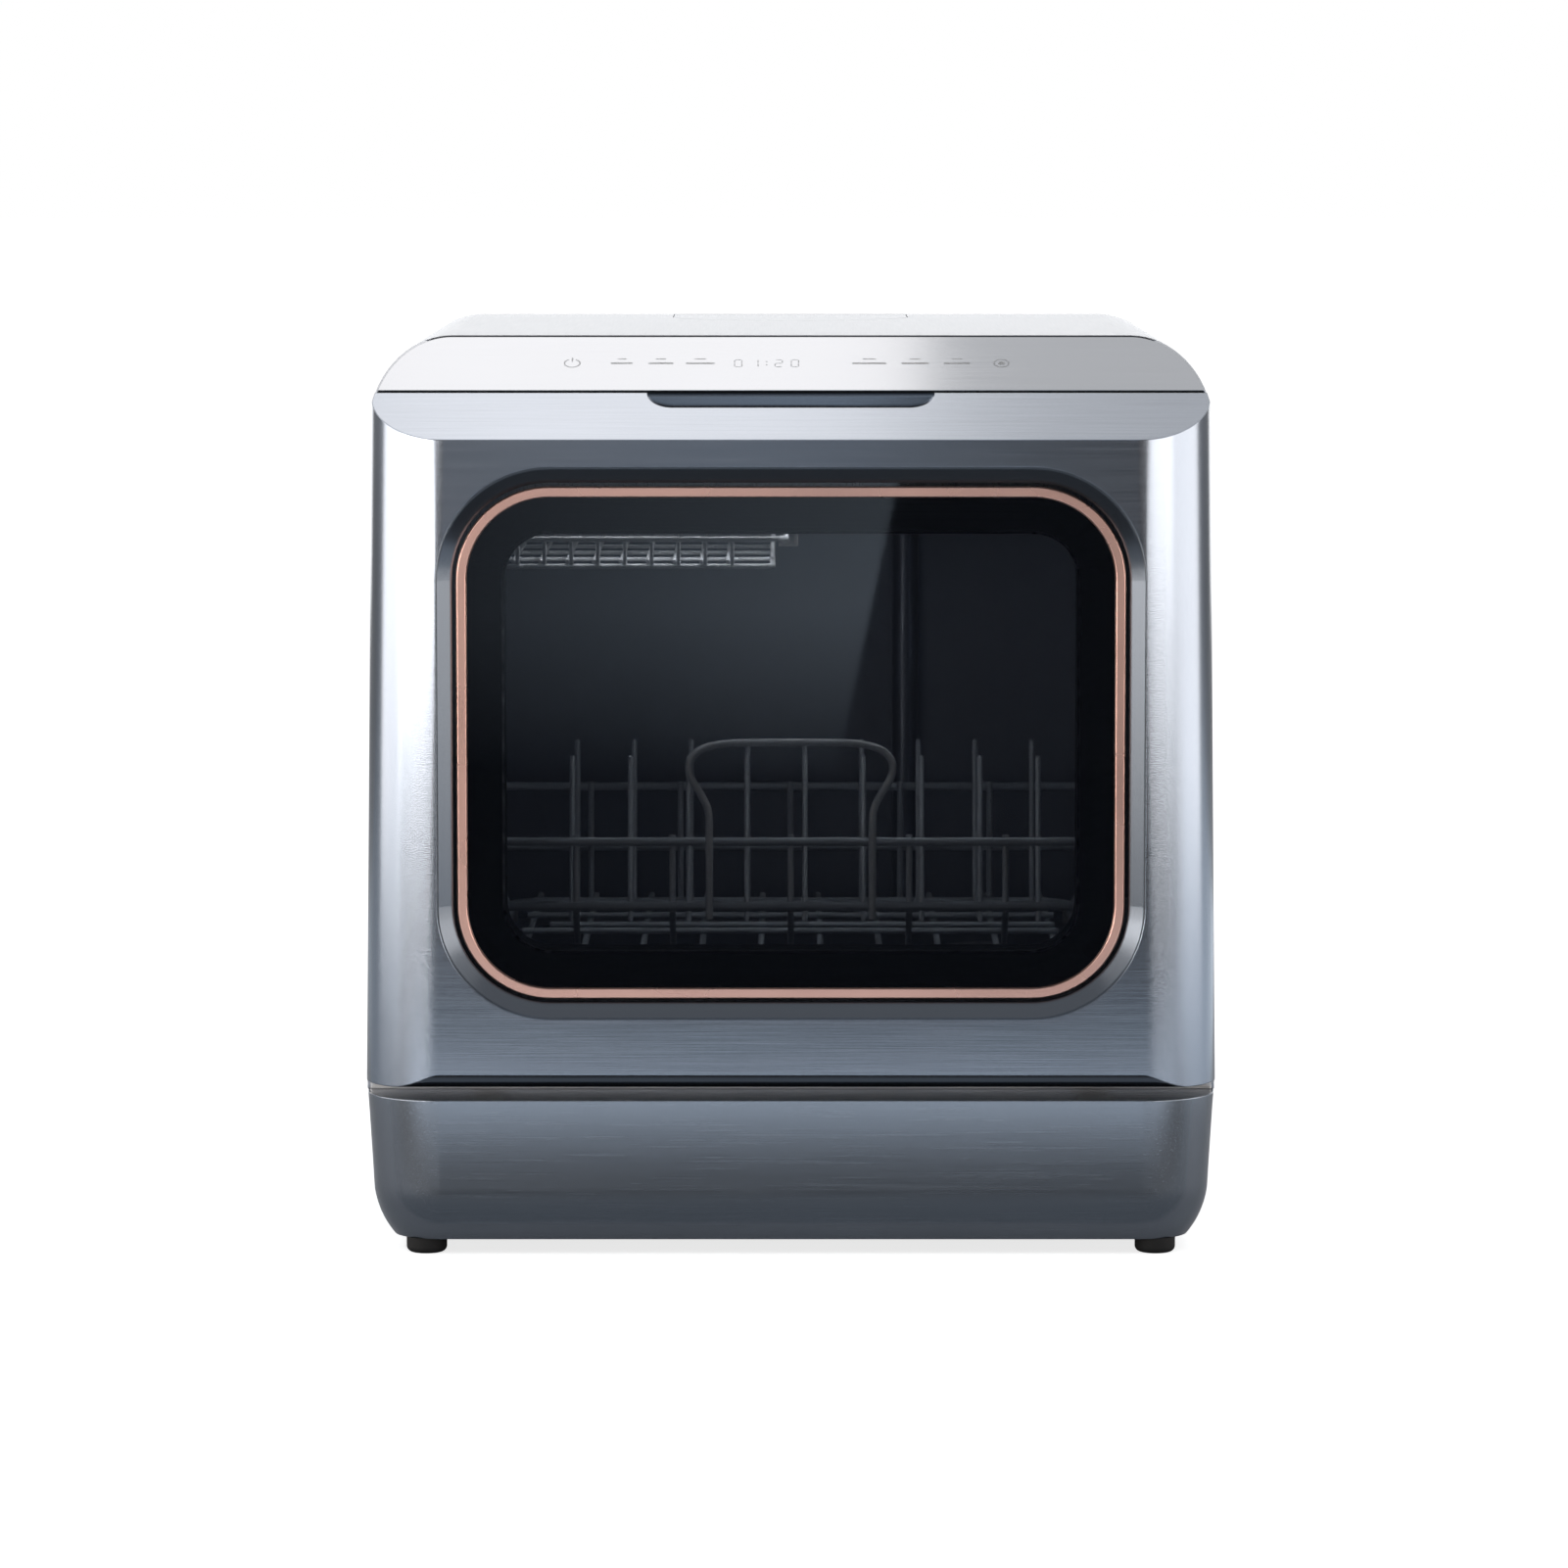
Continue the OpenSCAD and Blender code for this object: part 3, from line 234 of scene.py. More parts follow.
    def close(self, shader: bpy.types.NodeSocket) -> bpy.types.Material:
        """Links the shader to the output.

        Args:
            shader: the finished shader's socket.

        Returns:
            The material.
        """
        self.tree.links.new(shader, self.output.inputs["Surface"])
        return self.material


def shades(colour: Rgb, contrast: float) -> tuple[Rgb, Rgb]:
    """A darker and a lighter shade of a colour.

    Args:
        colour: the middle colour.
        contrast: how far the shades lie from it, as a share.

    Returns:
        The dark shade and the light one, no brighter than white.
    """
    dark = tuple(c * (1 - contrast) for c in colour)
    light = tuple(min(1.0, c * (1 + contrast)) for c in colour)
    return dark, light


@dataclass(frozen=True)
class Finish(ABC):
    """What a surface is made of."""

    name: str

    @abstractmethod
    def build(self) -> bpy.types.Material:
        """Builds the material's nodes."""

    def material(self) -> bpy.types.Material:
        """The material, built once."""
        return bpy.data.materials.get(self.name) or self.build()


@dataclass(frozen=True)
class BrushedMetal(Finish):
    """Sheet metal with fine drawn lines, a soft cloudiness and softened edges."""

    LINE_SCALE: ClassVar[float] = 6.0
    LINE_DETAIL: ClassVar[float] = 4.0
    LINE_SHARE: ClassVar[float] = 0.7
    CLOUD_SCALE: ClassVar[float] = 9.0
    CLOUD_DETAIL: ClassVar[float] = 2.0
    LINE_DEPTH: ClassVar[float] = 0.0002
    SMOOTHER: ClassVar[float] = 0.05
    ROUGHER: ClassVar[float] = 0.06

    colour: Rgb
    roughness: float = 0.34
    metallic: float = 0.9
    grain: Grain = Grain.ALONG_X
    contrast: float = 0.10
    relief: float = 0.05
    edge: float = 0.0007

    def build(self) -> bpy.types.Material:
        """Builds the drawn lines, the cloudiness and the metal.

        Returns:
            The material.
        """
        bench = NodeBench(self.name)
        lines = bench.noise(self.grain.value, self.LINE_SCALE, self.LINE_DETAIL)
        cloud = bench.noise(EVEN, self.CLOUD_SCALE, self.CLOUD_DETAIL)
        clouded = bench.ramp(cloud, 0.0, 1.0 - self.LINE_SHARE)
        mixed = bench.maths("MULTIPLY_ADD", lines, self.LINE_SHARE, clouded)
        shader = bench.node(
            "ShaderNodeBsdfPrincipled",
            Base_Color=bench.blend(mixed, *shades(self.colour, self.contrast)),
            Metallic=self.metallic,
            Roughness=bench.ramp(lines, self.roughness - self.SMOOTHER, self.roughness + self.ROUGHER),
            Normal=bench.bump(lines, self.relief, self.LINE_DEPTH, self.edge),
        )
        return bench.close(shader.outputs["BSDF"])


@dataclass(frozen=True)
class Moulded(Finish):
    """Moulded plastic, rubber or a sprayed coat with a fine spark-eroded texture."""

    TEXTURE_DETAIL: ClassVar[float] = 2.0
    CLOUD_SCALE: ClassVar[float] = 14.0
    CLOUD_DETAIL: ClassVar[float] = 3.0
    TEXTURE_DEPTH: ClassVar[float] = 0.0001
    SMOOTHER: ClassVar[float] = 0.04
    ROUGHER: ClassVar[float] = 0.05

    colour: Rgb
    roughness: float = 0.5
    texture: float = 1800.0
    relief: float = 0.12
    contrast: float = 0.08
    specular: float = 0.5
    metallic: float = 0.0
    edge: float = 0.0005

    def build(self) -> bpy.types.Material:
        """Builds the fine texture and the plastic.

        Returns:
            The material.
        """
        bench = NodeBench(self.name)
        fine = bench.noise(EVEN, self.texture, self.TEXTURE_DETAIL)
        cloud = bench.noise(EVEN, self.CLOUD_SCALE, self.CLOUD_DETAIL)
        shader = bench.node(
            "ShaderNodeBsdfPrincipled",
            Base_Color=bench.blend(cloud, *shades(self.colour, self.contrast)),
            Metallic=self.metallic,
            Roughness=bench.ramp(cloud, self.roughness - self.SMOOTHER, self.roughness + self.ROUGHER),
            Specular_IOR_Level=self.specular,
            Normal=bench.bump(fine, self.relief, self.TEXTURE_DEPTH, self.edge),
        )
        return bench.close(shader.outputs["BSDF"])


@dataclass(frozen=True)
class ClearPane(Finish):
    """A pane that is seen through: tinted by its alpha, with a faint wipe haze in its gloss."""

    HAZE_SCALE: ClassVar[float] = 7.0
    HAZE_DETAIL: ClassVar[float] = 2.0
    HAZE_LIFT: ClassVar[float] = 1.15
    GLOSS_SPREAD: ClassVar[float] = 0.4

    colour: Rgb
    alpha: float
    roughness: float = 0.03
    specular: float = 0.5

    def build(self) -> bpy.types.Material:
        """Builds the pane's gloss and tint.

        Returns:
            The material.
        """
        bench = NodeBench(self.name)
        haze = bench.noise(EVEN, self.HAZE_SCALE, self.HAZE_DETAIL)
        low, high = (self.roughness * (1 + s * self.GLOSS_SPREAD) for s in (-1, 1))
        shader = bench.node(
            "ShaderNodeBsdfPrincipled",
            Base_Color=bench.blend(haze, self.colour, tuple(c * self.HAZE_LIFT for c in self.colour)),
            Roughness=bench.ramp(haze, low, high),
            Alpha=self.alpha,
            Specular_IOR_Level=self.specular,
        )
        material = bench.close(shader.outputs["BSDF"])
        material.surface_render_method = "BLENDED"
        return material


@dataclass(frozen=True)
class Printed(Finish):
    """Thin print with a slight unevenness."""

    SPECK_SCALE: ClassVar[float] = 300.0
    SPECK_DETAIL: ClassVar[float] = 2.0
    SPECK_SHADE: ClassVar[float] = 0.93
    ROUGHNESS: ClassVar[float] = 0.4

    colour: Rgb
    alpha: float = 1.0

    def build(self) -> bpy.types.Material:
        """Builds the uneven print.

        Returns:
            The material.
        """
        bench = NodeBench(self.name)
        uneven = bench.noise(EVEN, self.SPECK_SCALE, self.SPECK_DETAIL)
        dark = tuple(c * self.SPECK_SHADE for c in self.colour)
        shader = bench.node(
            "ShaderNodeBsdfPrincipled",
            Base_Color=bench.blend(uneven, dark, self.colour),
            Roughness=self.ROUGHNESS,
            Alpha=self.alpha,
        )
        return bench.close(shader.outputs["BSDF"])


class Finishes:
    """The finishes of this dishwasher, by what they are."""

    DOOR = BrushedMetal(
        "door_slate_steel", (0.145, 0.166, 0.200), roughness=0.22, metallic=1.0, contrast=0.26, relief=0.10
    )
    WRAP = BrushedMetal("wrap_slate_steel", (0.190, 0.208, 0.240), roughness=0.33, grain=Grain.ALONG_Y)
    FASCIA = BrushedMetal("fascia_slate_steel", (0.180, 0.197, 0.224), roughness=0.11, contrast=0.08)
    BASE = BrushedMetal("base_slate_steel", (0.160, 0.182, 0.216), roughness=0.25, contrast=0.14, relief=0.07)
    BEZEL = BrushedMetal("bezel_satin", (0.062, 0.072, 0.087), roughness=0.22, contrast=0.06)
    COPPER = Moulded(
        "rose_trim",
        (0.54, 0.335, 0.29),
        roughness=0.27,
        texture=2600.0,
        relief=0.01,
        contrast=0.04,
        metallic=0.8,
    )
    # Painted shade: the tub's stainless steel is coloured a dark blue-grey, far darker than the door lining's
    # stainless, so the inside reads dim; the feed pipe shares it.
    TUB_PAINTED_SHADE = BrushedMetal(
        "tub_stainless_painted_shade", (0.14, 0.165, 0.215), roughness=0.32, metallic=1.0, grain=Grain.ALONG_Y
    )
    LINING = BrushedMetal("door_lining_stainless", (0.45, 0.46, 0.48), roughness=0.28, grain=Grain.ALONG_Z)
    FRAME_SHEET = BrushedMetal("front_frame_stainless", (0.42, 0.43, 0.45), roughness=0.30, contrast=0.08)
    ZINC = BrushedMetal(
        "zinc_plate", (0.50, 0.51, 0.52), roughness=0.38, grain=Grain.NONE, contrast=0.14, relief=0.08
    )
    FILTER_STEEL = BrushedMetal("filter_stainless", (0.48, 0.49, 0.51), roughness=0.25, grain=Grain.NONE)
    WIRE = Moulded("rack_grey_coat", (0.46, 0.52, 0.60), roughness=0.30, texture=900.0, relief=0.08)
    TRAY_WIRE = Moulded("tray_grey_coat", (0.72, 0.77, 0.84), roughness=0.30, texture=900.0, relief=0.06)
    GRIP_WIRE = Moulded("grip_grey_coat", (0.64, 0.70, 0.78), roughness=0.28, texture=900.0, relief=0.06)
    DARK_CUP = Moulded("recess_black", (0.012, 0.014, 0.018), roughness=0.45, texture=1400.0)
    TUNNEL = Moulded("window_frame_black", (0.004, 0.005, 0.007), roughness=0.5, relief=0.01, specular=0.0)
    BLACK = Moulded("black_plastic", (0.018, 0.018, 0.020), roughness=0.48)
    DARK = Moulded("dark_grey_plastic", (0.060, 0.064, 0.070), roughness=0.5)
    GREY = Moulded("mid_grey_plastic", (0.16, 0.17, 0.185), roughness=0.45)
    PAN = Moulded("pan_black_plastic", (0.022, 0.023, 0.025), roughness=0.62, texture=700.0, relief=0.25)
    RUBBER = Moulded(
        "black_rubber", (0.008, 0.009, 0.011), roughness=0.75, texture=1100.0, relief=0.2, specular=0.15
    )
    BOARD = Moulded("green_board", (0.010, 0.075, 0.035), roughness=0.4, texture=500.0)
    BLUE = Moulded("valve_blue", (0.05, 0.085, 0.24), roughness=0.42)
    TANK = Moulded("tank_milky", (0.62, 0.65, 0.68), roughness=0.35, texture=260.0, relief=0.05)
    GLASS_DARK = ClearPane("window_tinted", (0.008, 0.010, 0.016), alpha=0.45, roughness=0.02, specular=1.0)
    GLASS_CLEAR = ClearPane("window_inner", (0.10, 0.12, 0.14), alpha=0.06, roughness=0.03, specular=0.3)
    MARKS = Printed("touch_marks", (0.90, 0.92, 0.95), alpha=0.22)
    OUTLINE = Printed("window_outline", (0.20, 0.22, 0.25))


NODES_BY_FINISH: dict[Finish, tuple[str, ...]] = {
    Finishes.WRAP: ("cabinet_wrap", "fill_hatch"),
    Finishes.FASCIA: ("control_fascia",),
    Finishes.BASE: ("base_shell",),
    Finishes.DOOR: ("door_front_panel",),
    Finishes.BEZEL: ("window_bezel",),
    Finishes.COPPER: ("trim_ring",),
    # The tub and the feed pipe take the stainless with painted shade.
    Finishes.TUB_PAINTED_SHADE: ("tub", "upper_feed_pipe"),
    Finishes.LINING: ("door_inner_panel",),
    Finishes.FRAME_SHEET: ("front_frame",),
    Finishes.ZINC: (
        "rear_panel", "rear_screws", "hinge_bracket_left", "hinge_bracket_right", "hinge_pins",
        "latch_hook", "door_hinge_left", "door_hinge_right", "rack_axles",
    ),
    Finishes.FILTER_STEEL: ("filter_plate", "heater", "tray_rail_left", "tray_rail_right"),
    Finishes.WIRE: ("rack_rails", "rack_basket", "rack_tines"),
    Finishes.TRAY_WIRE: ("cutlery_tray", "rack_grip"),
    Finishes.DARK_CUP: ("handle_cup",),
    Finishes.TUNNEL: ("window_tunnel",),
    Finishes.BLACK: ("wash_pump", "drain_pump", "drain_spigot", "cable_gland", "latch_housing"),
    Finishes.DARK: (
        "sump", "spray_hub", "fill_basin", "detergent_cup", "rack_wheel_front_left",
        "rack_wheel_front_right", "rack_wheel_rear_left", "rack_wheel_rear_right",
    ),
    Finishes.GREY: ("filter_cup", "spray_arm_lower", "spray_arm_upper", "detergent_lid"),
    Finishes.PAN: ("base_pan",),
    Finishes.RUBBER: (
        "foot_front_left", "foot_front_right", "foot_rear_left", "foot_rear_right", "tub_gasket",
    ),
    Finishes.BOARD: ("control_board", "power_board"),
    Finishes.BLUE: ("inlet_valve",),
    Finishes.TANK: ("water_tank",),
    Finishes.GLASS_DARK: ("outer_glass",),
    Finishes.GLASS_CLEAR: ("inner_glass",),
}
NODE_FINISH = {name: finish for finish, names in NODES_BY_FINISH.items() for name in names}
SHARP_DEG = 35.0
SAME_POINT = 1e-7


def add_piece(
    name: str,
    verts: Sequence[Point3],
    faces: Sequence[Sequence[int]],
    finish: Finish,
    body: str,
    smooth: bool = True,
) -> bpy.types.Object:
    """Makes a mesh piece that rides on a body.

    Args:
        name: the piece's name.
        verts: its points in the row frame.
        faces: its faces.
        finish: its material.
        body: the CAD body it moves with.
        smooth: whether it is shaded smooth up to sharp edges.

    Returns:
        The new object.
    """
    mesh = bpy.data.meshes.new(name)
    mesh.from_pydata([tuple(v) for v in verts], [], [list(f) for f in faces])
    work = bmesh.new()
    work.from_mesh(mesh)
    bmesh.ops.remove_doubles(work, verts=work.verts, dist=SAME_POINT)
    bmesh.ops.recalc_face_normals(work, faces=work.faces)
    work.to_mesh(mesh)
    work.free()
    piece = bpy.data.objects.new(name, mesh)
    bpy.context.scene.collection.objects.link(piece)
    mesh.materials.append(finish.material())
    if smooth:
        mesh.shade_smooth()
        mesh.set_sharp_from_angle(angle=math.radians(SHARP_DEG))
    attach(piece, body)
    LOG.info("piece %s rides on %s", name, body)
    return piece


def rounded_loop(
    width: float, height: float, radius: float, steps: int = 20
) -> list[tuple[Point2, Point2]]:
    """Points round a rounded rectangle about the origin, with the outward direction at each.

    Args:
        width: overall width.
        height: overall height.
        radius: corner radius.
        steps: points in each corner.

    Returns:
        Pairs of point and outward direction.
    """
    loop: list[tuple[Point2, Point2]] = []
    for quarter, (sx, sy) in enumerate(((1, 1), (-1, 1), (-1, -1), (1, -1))):
        cx, cy = sx * (width / 2 - radius), sy * (height / 2 - radius)
        for k in range(steps + 1):
            a = math.pi / 2 * (quarter + k / steps)
            out = (math.cos(a), math.sin(a))
            loop.append(((cx + radius * out[0], cy + radius * out[1]), out))
    return loop


def swept_ring(width: float, height: float, radius: float, section: Sequence[Point2]) -> MeshData:
    """Runs a closed section round a rounded rectangle in the XZ plane.

    Args:
        width: the path's width.
        height: the path's height.
        radius: the path's corner radius.
        section: points as (outwards, towards the front).

    Returns:
        Points and faces.
    """
    loop = rounded_loop(width, height, radius)
    verts: list[Point3] = []
    for (x, z), (ox, oz) in loop:
        verts += [(x + ox * s, -t, z + oz * s) for s, t in section]
    n, m = len(section), len(loop)
    faces = [
        [i * n + j, i * n + (j + 1) % n, ((i + 1) % m) * n + (j + 1) % n, ((i + 1) % m) * n + j]
        for i in range(m)
        for j in range(n)
    ]
    return verts, faces


def prism(outline: Sequence[Point2], low: float, high: float) -> MeshData:
    """A flat shape with thickness.

    Args:
        outline: its corners in order.
        low: the height of its lower face.
        high: the height of its upper face.

    Returns:
        Points and faces.
    """
    n = len(outline)
    verts = [(x, y, low) for x, y in outline] + [(x, y, high) for x, y in outline]
    faces = [list(range(n))[::-1], list(range(n, 2 * n))]
    faces += [[i, (i + 1) % n, n + (i + 1) % n, n + i] for i in range(n)]
    return verts, faces


def join_parts(parts: Iterable[MeshData]) -> MeshData:
    """Joins several point and face lists into one.

    Args:
        parts: the lists.

    Returns:
        Points and faces.
    """
    verts: list[Point3] = []
    faces: list[list[int]] = []
    for more_verts, more_faces in parts:
        shift = len(verts)
        verts += more_verts
        faces += [[i + shift for i in f] for f in more_faces]
    return verts, faces


@dataclass
class CarriedNodes:
    """The CAD nodes that show as they are, each with its finish."""

    nodes: dict[str, bpy.types.Object]
    finishes: dict[str, Finish] = field(default_factory=lambda: dict(NODE_FINISH))

    def dress(self) -> None:
        """Gives every node its finish."""
        for name, node in self.nodes.items():
            node.data.materials.clear()
            node.data.materials.append(self.finishes[name].material())
            LOG.info("node %s finished", name)


@dataclass
class ControlFace:
    """The touch marks and the clock on the fascia, in metres across and up the slope."""

    front_y: float = -0.215
    slope_z: float = 0.4024
    slope_deg: float = 28.3
    row: float = 0.0731
    proud: float = 0.00006
    line: float = 0.0007
    bar_height: float = 0.0016
    bar_roundness: float = 0.45
    caption_rise: float = 0.0042
    caption_share: float = 0.4
    caption_height_share: float = 0.6
    bars_left: tuple[Point2, ...] = ((-0.089, -0.078), (-0.0705, -0.058), (-0.052, -0.0376))
    bars_right: tuple[Point2, ...] = ((0.0303, 0.0473), (0.0546, 0.0682), (0.0755, 0.0886))
    switch_x: float = -0.108
    switch_radius: float = 0.0042
    switch_gap_deg: float = 50.0
    switch_bar: Point2 = (0.0034, 0.0036)
    dial_x: float = 0.104
    dial_radius: float = 0.0040
    hub_radius: float = 0.0018
    digits: tuple[tuple[float, str], ...] = (
        (-0.026, "abcdef"), (-0.018, "bc"), (-0.006, "abged"), (0.002, "abcdef"),
    )
    digit_size: Point2 = (0.0036, 0.0034)
    segment_share: float = 0.8
    colon_x: float = -0.012
    colon_dot: float = 0.0009
    body: str = "cabinet"

    def on_slope(self, point: Point3) -> Point3:
        """Turns a point on the face into the row frame.

        Args:
            point: its place across, up the slope and out of it.

        Returns:
            The point in the row frame.
        """
        a = math.radians(self.slope_deg)
        x, u, v = point
        y = self.front_y + u * math.cos(a) - v * math.sin(a)
        return (x, y, self.slope_z + u * math.sin(a) + v * math.cos(a))

    def bar(self, x: float, u: float, width: float, height: float) -> MeshData:
        """A rounded bar lying on the face.

        Args:
            x: its middle across.
            u: its middle up the slope.
            width: its width.
            height: its height.

        Returns:
            Points and faces.
        """
        radius = min(width, height) * self.bar_roundness
        outline = [(x + px, u + pu) for (px, pu), _ in rounded_loop(width, height, radius, 5)]
        return prism(outline, 0.0, self.proud)

    def ring(self, x: float, radius: float, line: float, gap: float = 0.0) -> MeshData:
        """A ring on the row of marks, open at the top by a gap.

        Args:
            x: its middle across.
            radius: its outer radius.
            line: the line's width.
            gap: the angle left open at the top, in degrees.

        Returns:
            Points and faces.
        """
        start, span, steps = 90 + gap / 2, 360 - gap, 28
        parts = []
        for k in range(steps):
            a0, a1 = (math.radians(start + span * j / steps) for j in (k, k + 1))
            around = ((radius, a0), (radius, a1), (radius - line, a1), (radius - line, a0))
            corner = [(x + r * math.cos(a), self.row + r * math.sin(a)) for r, a in around]
            parts.append(prism(corner, 0.0, self.proud))
        return join_parts(parts)

    def digit(self, x: float, lit: str) -> MeshData:
        """One seven-segment digit.

        Args:
            x: its middle across.
            lit: the letters of the segments that are drawn, from a to g.

        Returns:
            Points and faces.
        """
        (w, h), t = self.digit_size, self.line
        where = {
            "a": (0, h, w, t), "g": (0, 0, w, t), "d": (0, -h, w, t),
            "b": (w / 2, h / 2, t, h), "c": (w / 2, -h / 2, t, h),
            "f": (-w / 2, h / 2, t, h), "e": (-w / 2, -h / 2, t, h),
        }
        segments = (where[letter] for letter in lit)
        share = self.segment_share
        return join_parts(self.bar(x + dx, self.row + du, a * share, b * share) for dx, du, a, b in segments)

    def captioned(self, span: Point2) -> list[MeshData]:
        """A touch bar with the short caption bar above it.

        Args:
            span: where the bar starts and ends across.

        Returns:
            Points and faces of both.
        """
        x, width = sum(span) / 2, span[1] - span[0]
        caption = self.bar_height * self.caption_height_share
        return [
            self.bar(x, self.row, width, self.bar_height),
            self.bar(x, self.row + self.caption_rise, width * self.caption_share, caption),
        ]

    def build(self) -> bpy.types.Object:
        """Builds the row of marks as one thin piece.

        Returns:
            The piece.
        """
        rise, height = self.switch_bar
        parts = [
            self.ring(self.switch_x, self.switch_radius, self.line, self.switch_gap_deg),
            self.bar(self.switch_x, self.row + rise, self.line, height),
        ]
        for span in self.bars_left:
            parts += self.captioned(span)
        parts += [self.digit(x, lit) for x, lit in self.digits]
        dot = self.colon_dot
        parts += [self.bar(self.colon_x, self.row + s * self.bar_height, dot, dot) for s in (-1, 1)]
        for span in self.bars_right:
            parts += self.captioned(span)
        parts.append(self.ring(self.dial_x, self.dial_radius, self.line))
        parts.append(self.ring(self.dial_x, self.hub_radius, self.hub_radius))
        verts, faces = join_parts(parts)
        placed = [self.on_slope(v) for v in verts]
        return add_piece("touch_marks", placed, faces, Finishes.MARKS, self.body, False)


@dataclass
class WindowLines:
    """The thin grey line that edges the clear part of the window."""

    centre_z: float = 0.254
    glass_back: float = -0.2050
    width: float = 0.2798
    height: float = 0.2043
    radius: float = 0.0224
    line: float = 0.0013
    thickness: float = 0.0003
    body: str = "door"

    def build(self) -> bpy.types.Object:
        """Builds the line as a thin ring just inside the black border.

        Returns:
            The piece.
        """
        t = self.thickness
        section = [(0.0, 0.0), (self.line, 0.0), (self.line, t), (0.0, t)]
        verts, faces = swept_ring(self.width, self.height, self.radius, section)
        placed = [(x, self.glass_back + y + t, z + self.centre_z) for x, y, z in verts]
        return add_piece("window_outline", placed, faces, Finishes.OUTLINE, self.body)


@dataclass
class RackGrip:
    """The bent wire loop that the rack is drawn out by."""

    y: float = -0.15462
    radius: float = 0.0019
    sides: int = 16
    half: tuple[Point2, ...] = (
        (0.0405, 0.1608), (0.0405, 0.2100), (0.0410, 0.2165), (0.0450, 0.2240), (0.0495, 0.2310),
        (0.0510, 0.2365), (0.0495, 0.2420), (0.0440, 0.2465), (0.0340, 0.2488), (0.0170, 0.2493),
    )
    cuts: int = 2
    cut_share: float = 0.25
    body: str = "rack"

    def path(self) -> list[Point2]:
        """The wire's middle line, with its corners cut so that it bends smoothly.

        Returns:
            The line's points, across and upwards.
        """
        near, far = 1 - self.cut_share, self.cut_share
        points = list(self.half) + [(-x, z) for x, z in reversed(self.half)]
        for _ in range(self.cuts):
            smoother = [points[0]]
            for (x0, z0), (x1, z1) in zip(points, points[1:]):
                smoother.append((near * x0 + far * x1, near * z0 + far * z1))
                smoother.append((far * x0 + near * x1, far * z0 + near * z1))
            points = smoother + [points[-1]]
        return points

    def circle(self, point: Point2, along: Point2) -> list[Point3]:
        """The wire's section at one point of its line.

        Args:
            point: the point, across and upwards.
            along: the line's direction there.

        Returns:
            The section's points.
        """
        (x, z), (dx, dz) = point, along
        length = math.hypot(dx, dz)
        nx, nz = -dz / length, dx / length
        section = []
        for j in range(self.sides):
            a = 2 * math.pi * j / self.sides
            c, s = self.radius * math.cos(a), self.radius * math.sin(a)
            section.append((x + nx * c, self.y + s, z + nz * c))
        return section

    def build(self) -> bpy.types.Object:
        """Builds the wire as a round tube in place of the CAD's bent rods.

        Returns:
            The piece.
        """
        points, sides = self.path(), self.sides
        verts: list[Point3] = []
        for k, point in enumerate(points):
            before, after = points[max(k - 1, 0)], points[min(k + 1, len(points) - 1)]
            verts += self.circle(point, (after[0] - before[0], after[1] - before[1]))
        faces = []
        for k in range(0, (len(points) - 1) * sides, sides):
            for j in range(sides):
                i = (j + 1) % sides
                faces.append([k + j, k + i, k + sides + i, k + sides + j])
        faces += [list(range(sides)), list(range(len(verts) - sides, len(verts)))]
        piece = add_piece("rack_grip_wire", verts, faces, Finishes.GRIP_WIRE, self.body)
        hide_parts("rack_grip")
        return piece


class LampRole(Enum):
    """What a lamp is for."""

    GLOSS = "shows only in gloss"
    FILL = "lights only matt surfaces"


@dataclass(frozen=True)
class Lamp:
    """A soft rectangular lamp, with a level at which 1 is white."""

    name: str
    place: Point3
    aim: Point3
    size: Point2
    level: float
    tint: Rgb = WARM
    role: LampRole = LampRole.GLOSS

    def build(self) -> None:
        """Hangs the lamp so that it faces its aim and stays out of the picture."""
        data = bpy.data.lights.new(self.name, "AREA")
        data.color = self.tint
        data.shape = "RECTANGLE"
        data.size, data.size_y = self.size
        data.energy = self.level * math.pi * self.size[0] * self.size[1]
        lamp = bpy.data.objects.new(self.name, data)
        lamp.location = self.place
        facing = Vector(self.aim) - Vector(self.place)
        lamp.rotation_euler = facing.to_track_quat("-Z", "Y").to_euler()
        lamp.visible_camera = False
        lamp.visible_diffuse = self.role is LampRole.FILL
        lamp.visible_glossy = self.role is LampRole.GLOSS
        bpy.context.scene.collection.objects.link(lamp)


@dataclass(frozen=True)
class Card:
    """A card that shows only in gloss and glass, with a level at which 1 is white."""

    name: str
    corners: tuple[Point3, ...]
    level: float
    tint: Rgb = (0.86, 0.93, 1.0)

    def strength(self, bench: NodeBench) -> object:
        """The brightness that the card's nodes get, from the bench they are built on."""
        return self.level

    def build(self) -> None:
        """Sets the card up where neither the camera nor matt surfaces see it."""
        mesh = bpy.data.meshes.new(self.name)
        mesh.from_pydata(list(self.corners), [], [tuple(range(len(self.corners)))])
        card = bpy.data.objects.new(self.name, mesh)
        bpy.context.scene.collection.objects.link(card)
        bench = NodeBench(self.name)
        glow = bench.node("ShaderNodeEmission", Color=self.tint, Strength=self.strength(bench))
        mesh.materials.append(bench.close(glow.outputs[0]))
        card.visible_camera = False
        card.visible_diffuse = False
        card.visible_shadow = False
        card.visible_transmission = False


@dataclass(frozen=True)
class FadedCard(Card):
    """A card that dims towards the left and towards the floor."""

    tint: Rgb = (0.70, 0.84, 1.0)
    across: Point2 = (-0.45, 0.20)
    left_share: float = 0.04
    upwards: Point2 = (0.0, 0.14)
    low_share: float = 0.05

    def strength(self, bench: NodeBench) -> bpy.types.NodeSocket:
        """The card's brightness over its width and height.

        Args:
            bench: the bench that its nodes are built on.

        Returns:
            The brightness as a socket.
        """
        shares = []
        for letter, (start, end), low in (
            ("X", self.across, self.left_share),
            ("Z", self.upwards, self.low_share),
        ):
            where = bench.axis(letter)
            share = bench.node("ShaderNodeMapRange", Value=where, From_Min=start, From_Max=end, To_Min=low)
            shares.append(share.outputs["Result"])
        return bench.maths("MULTIPLY", bench.maths("MULTIPLY", *shares), self.level)


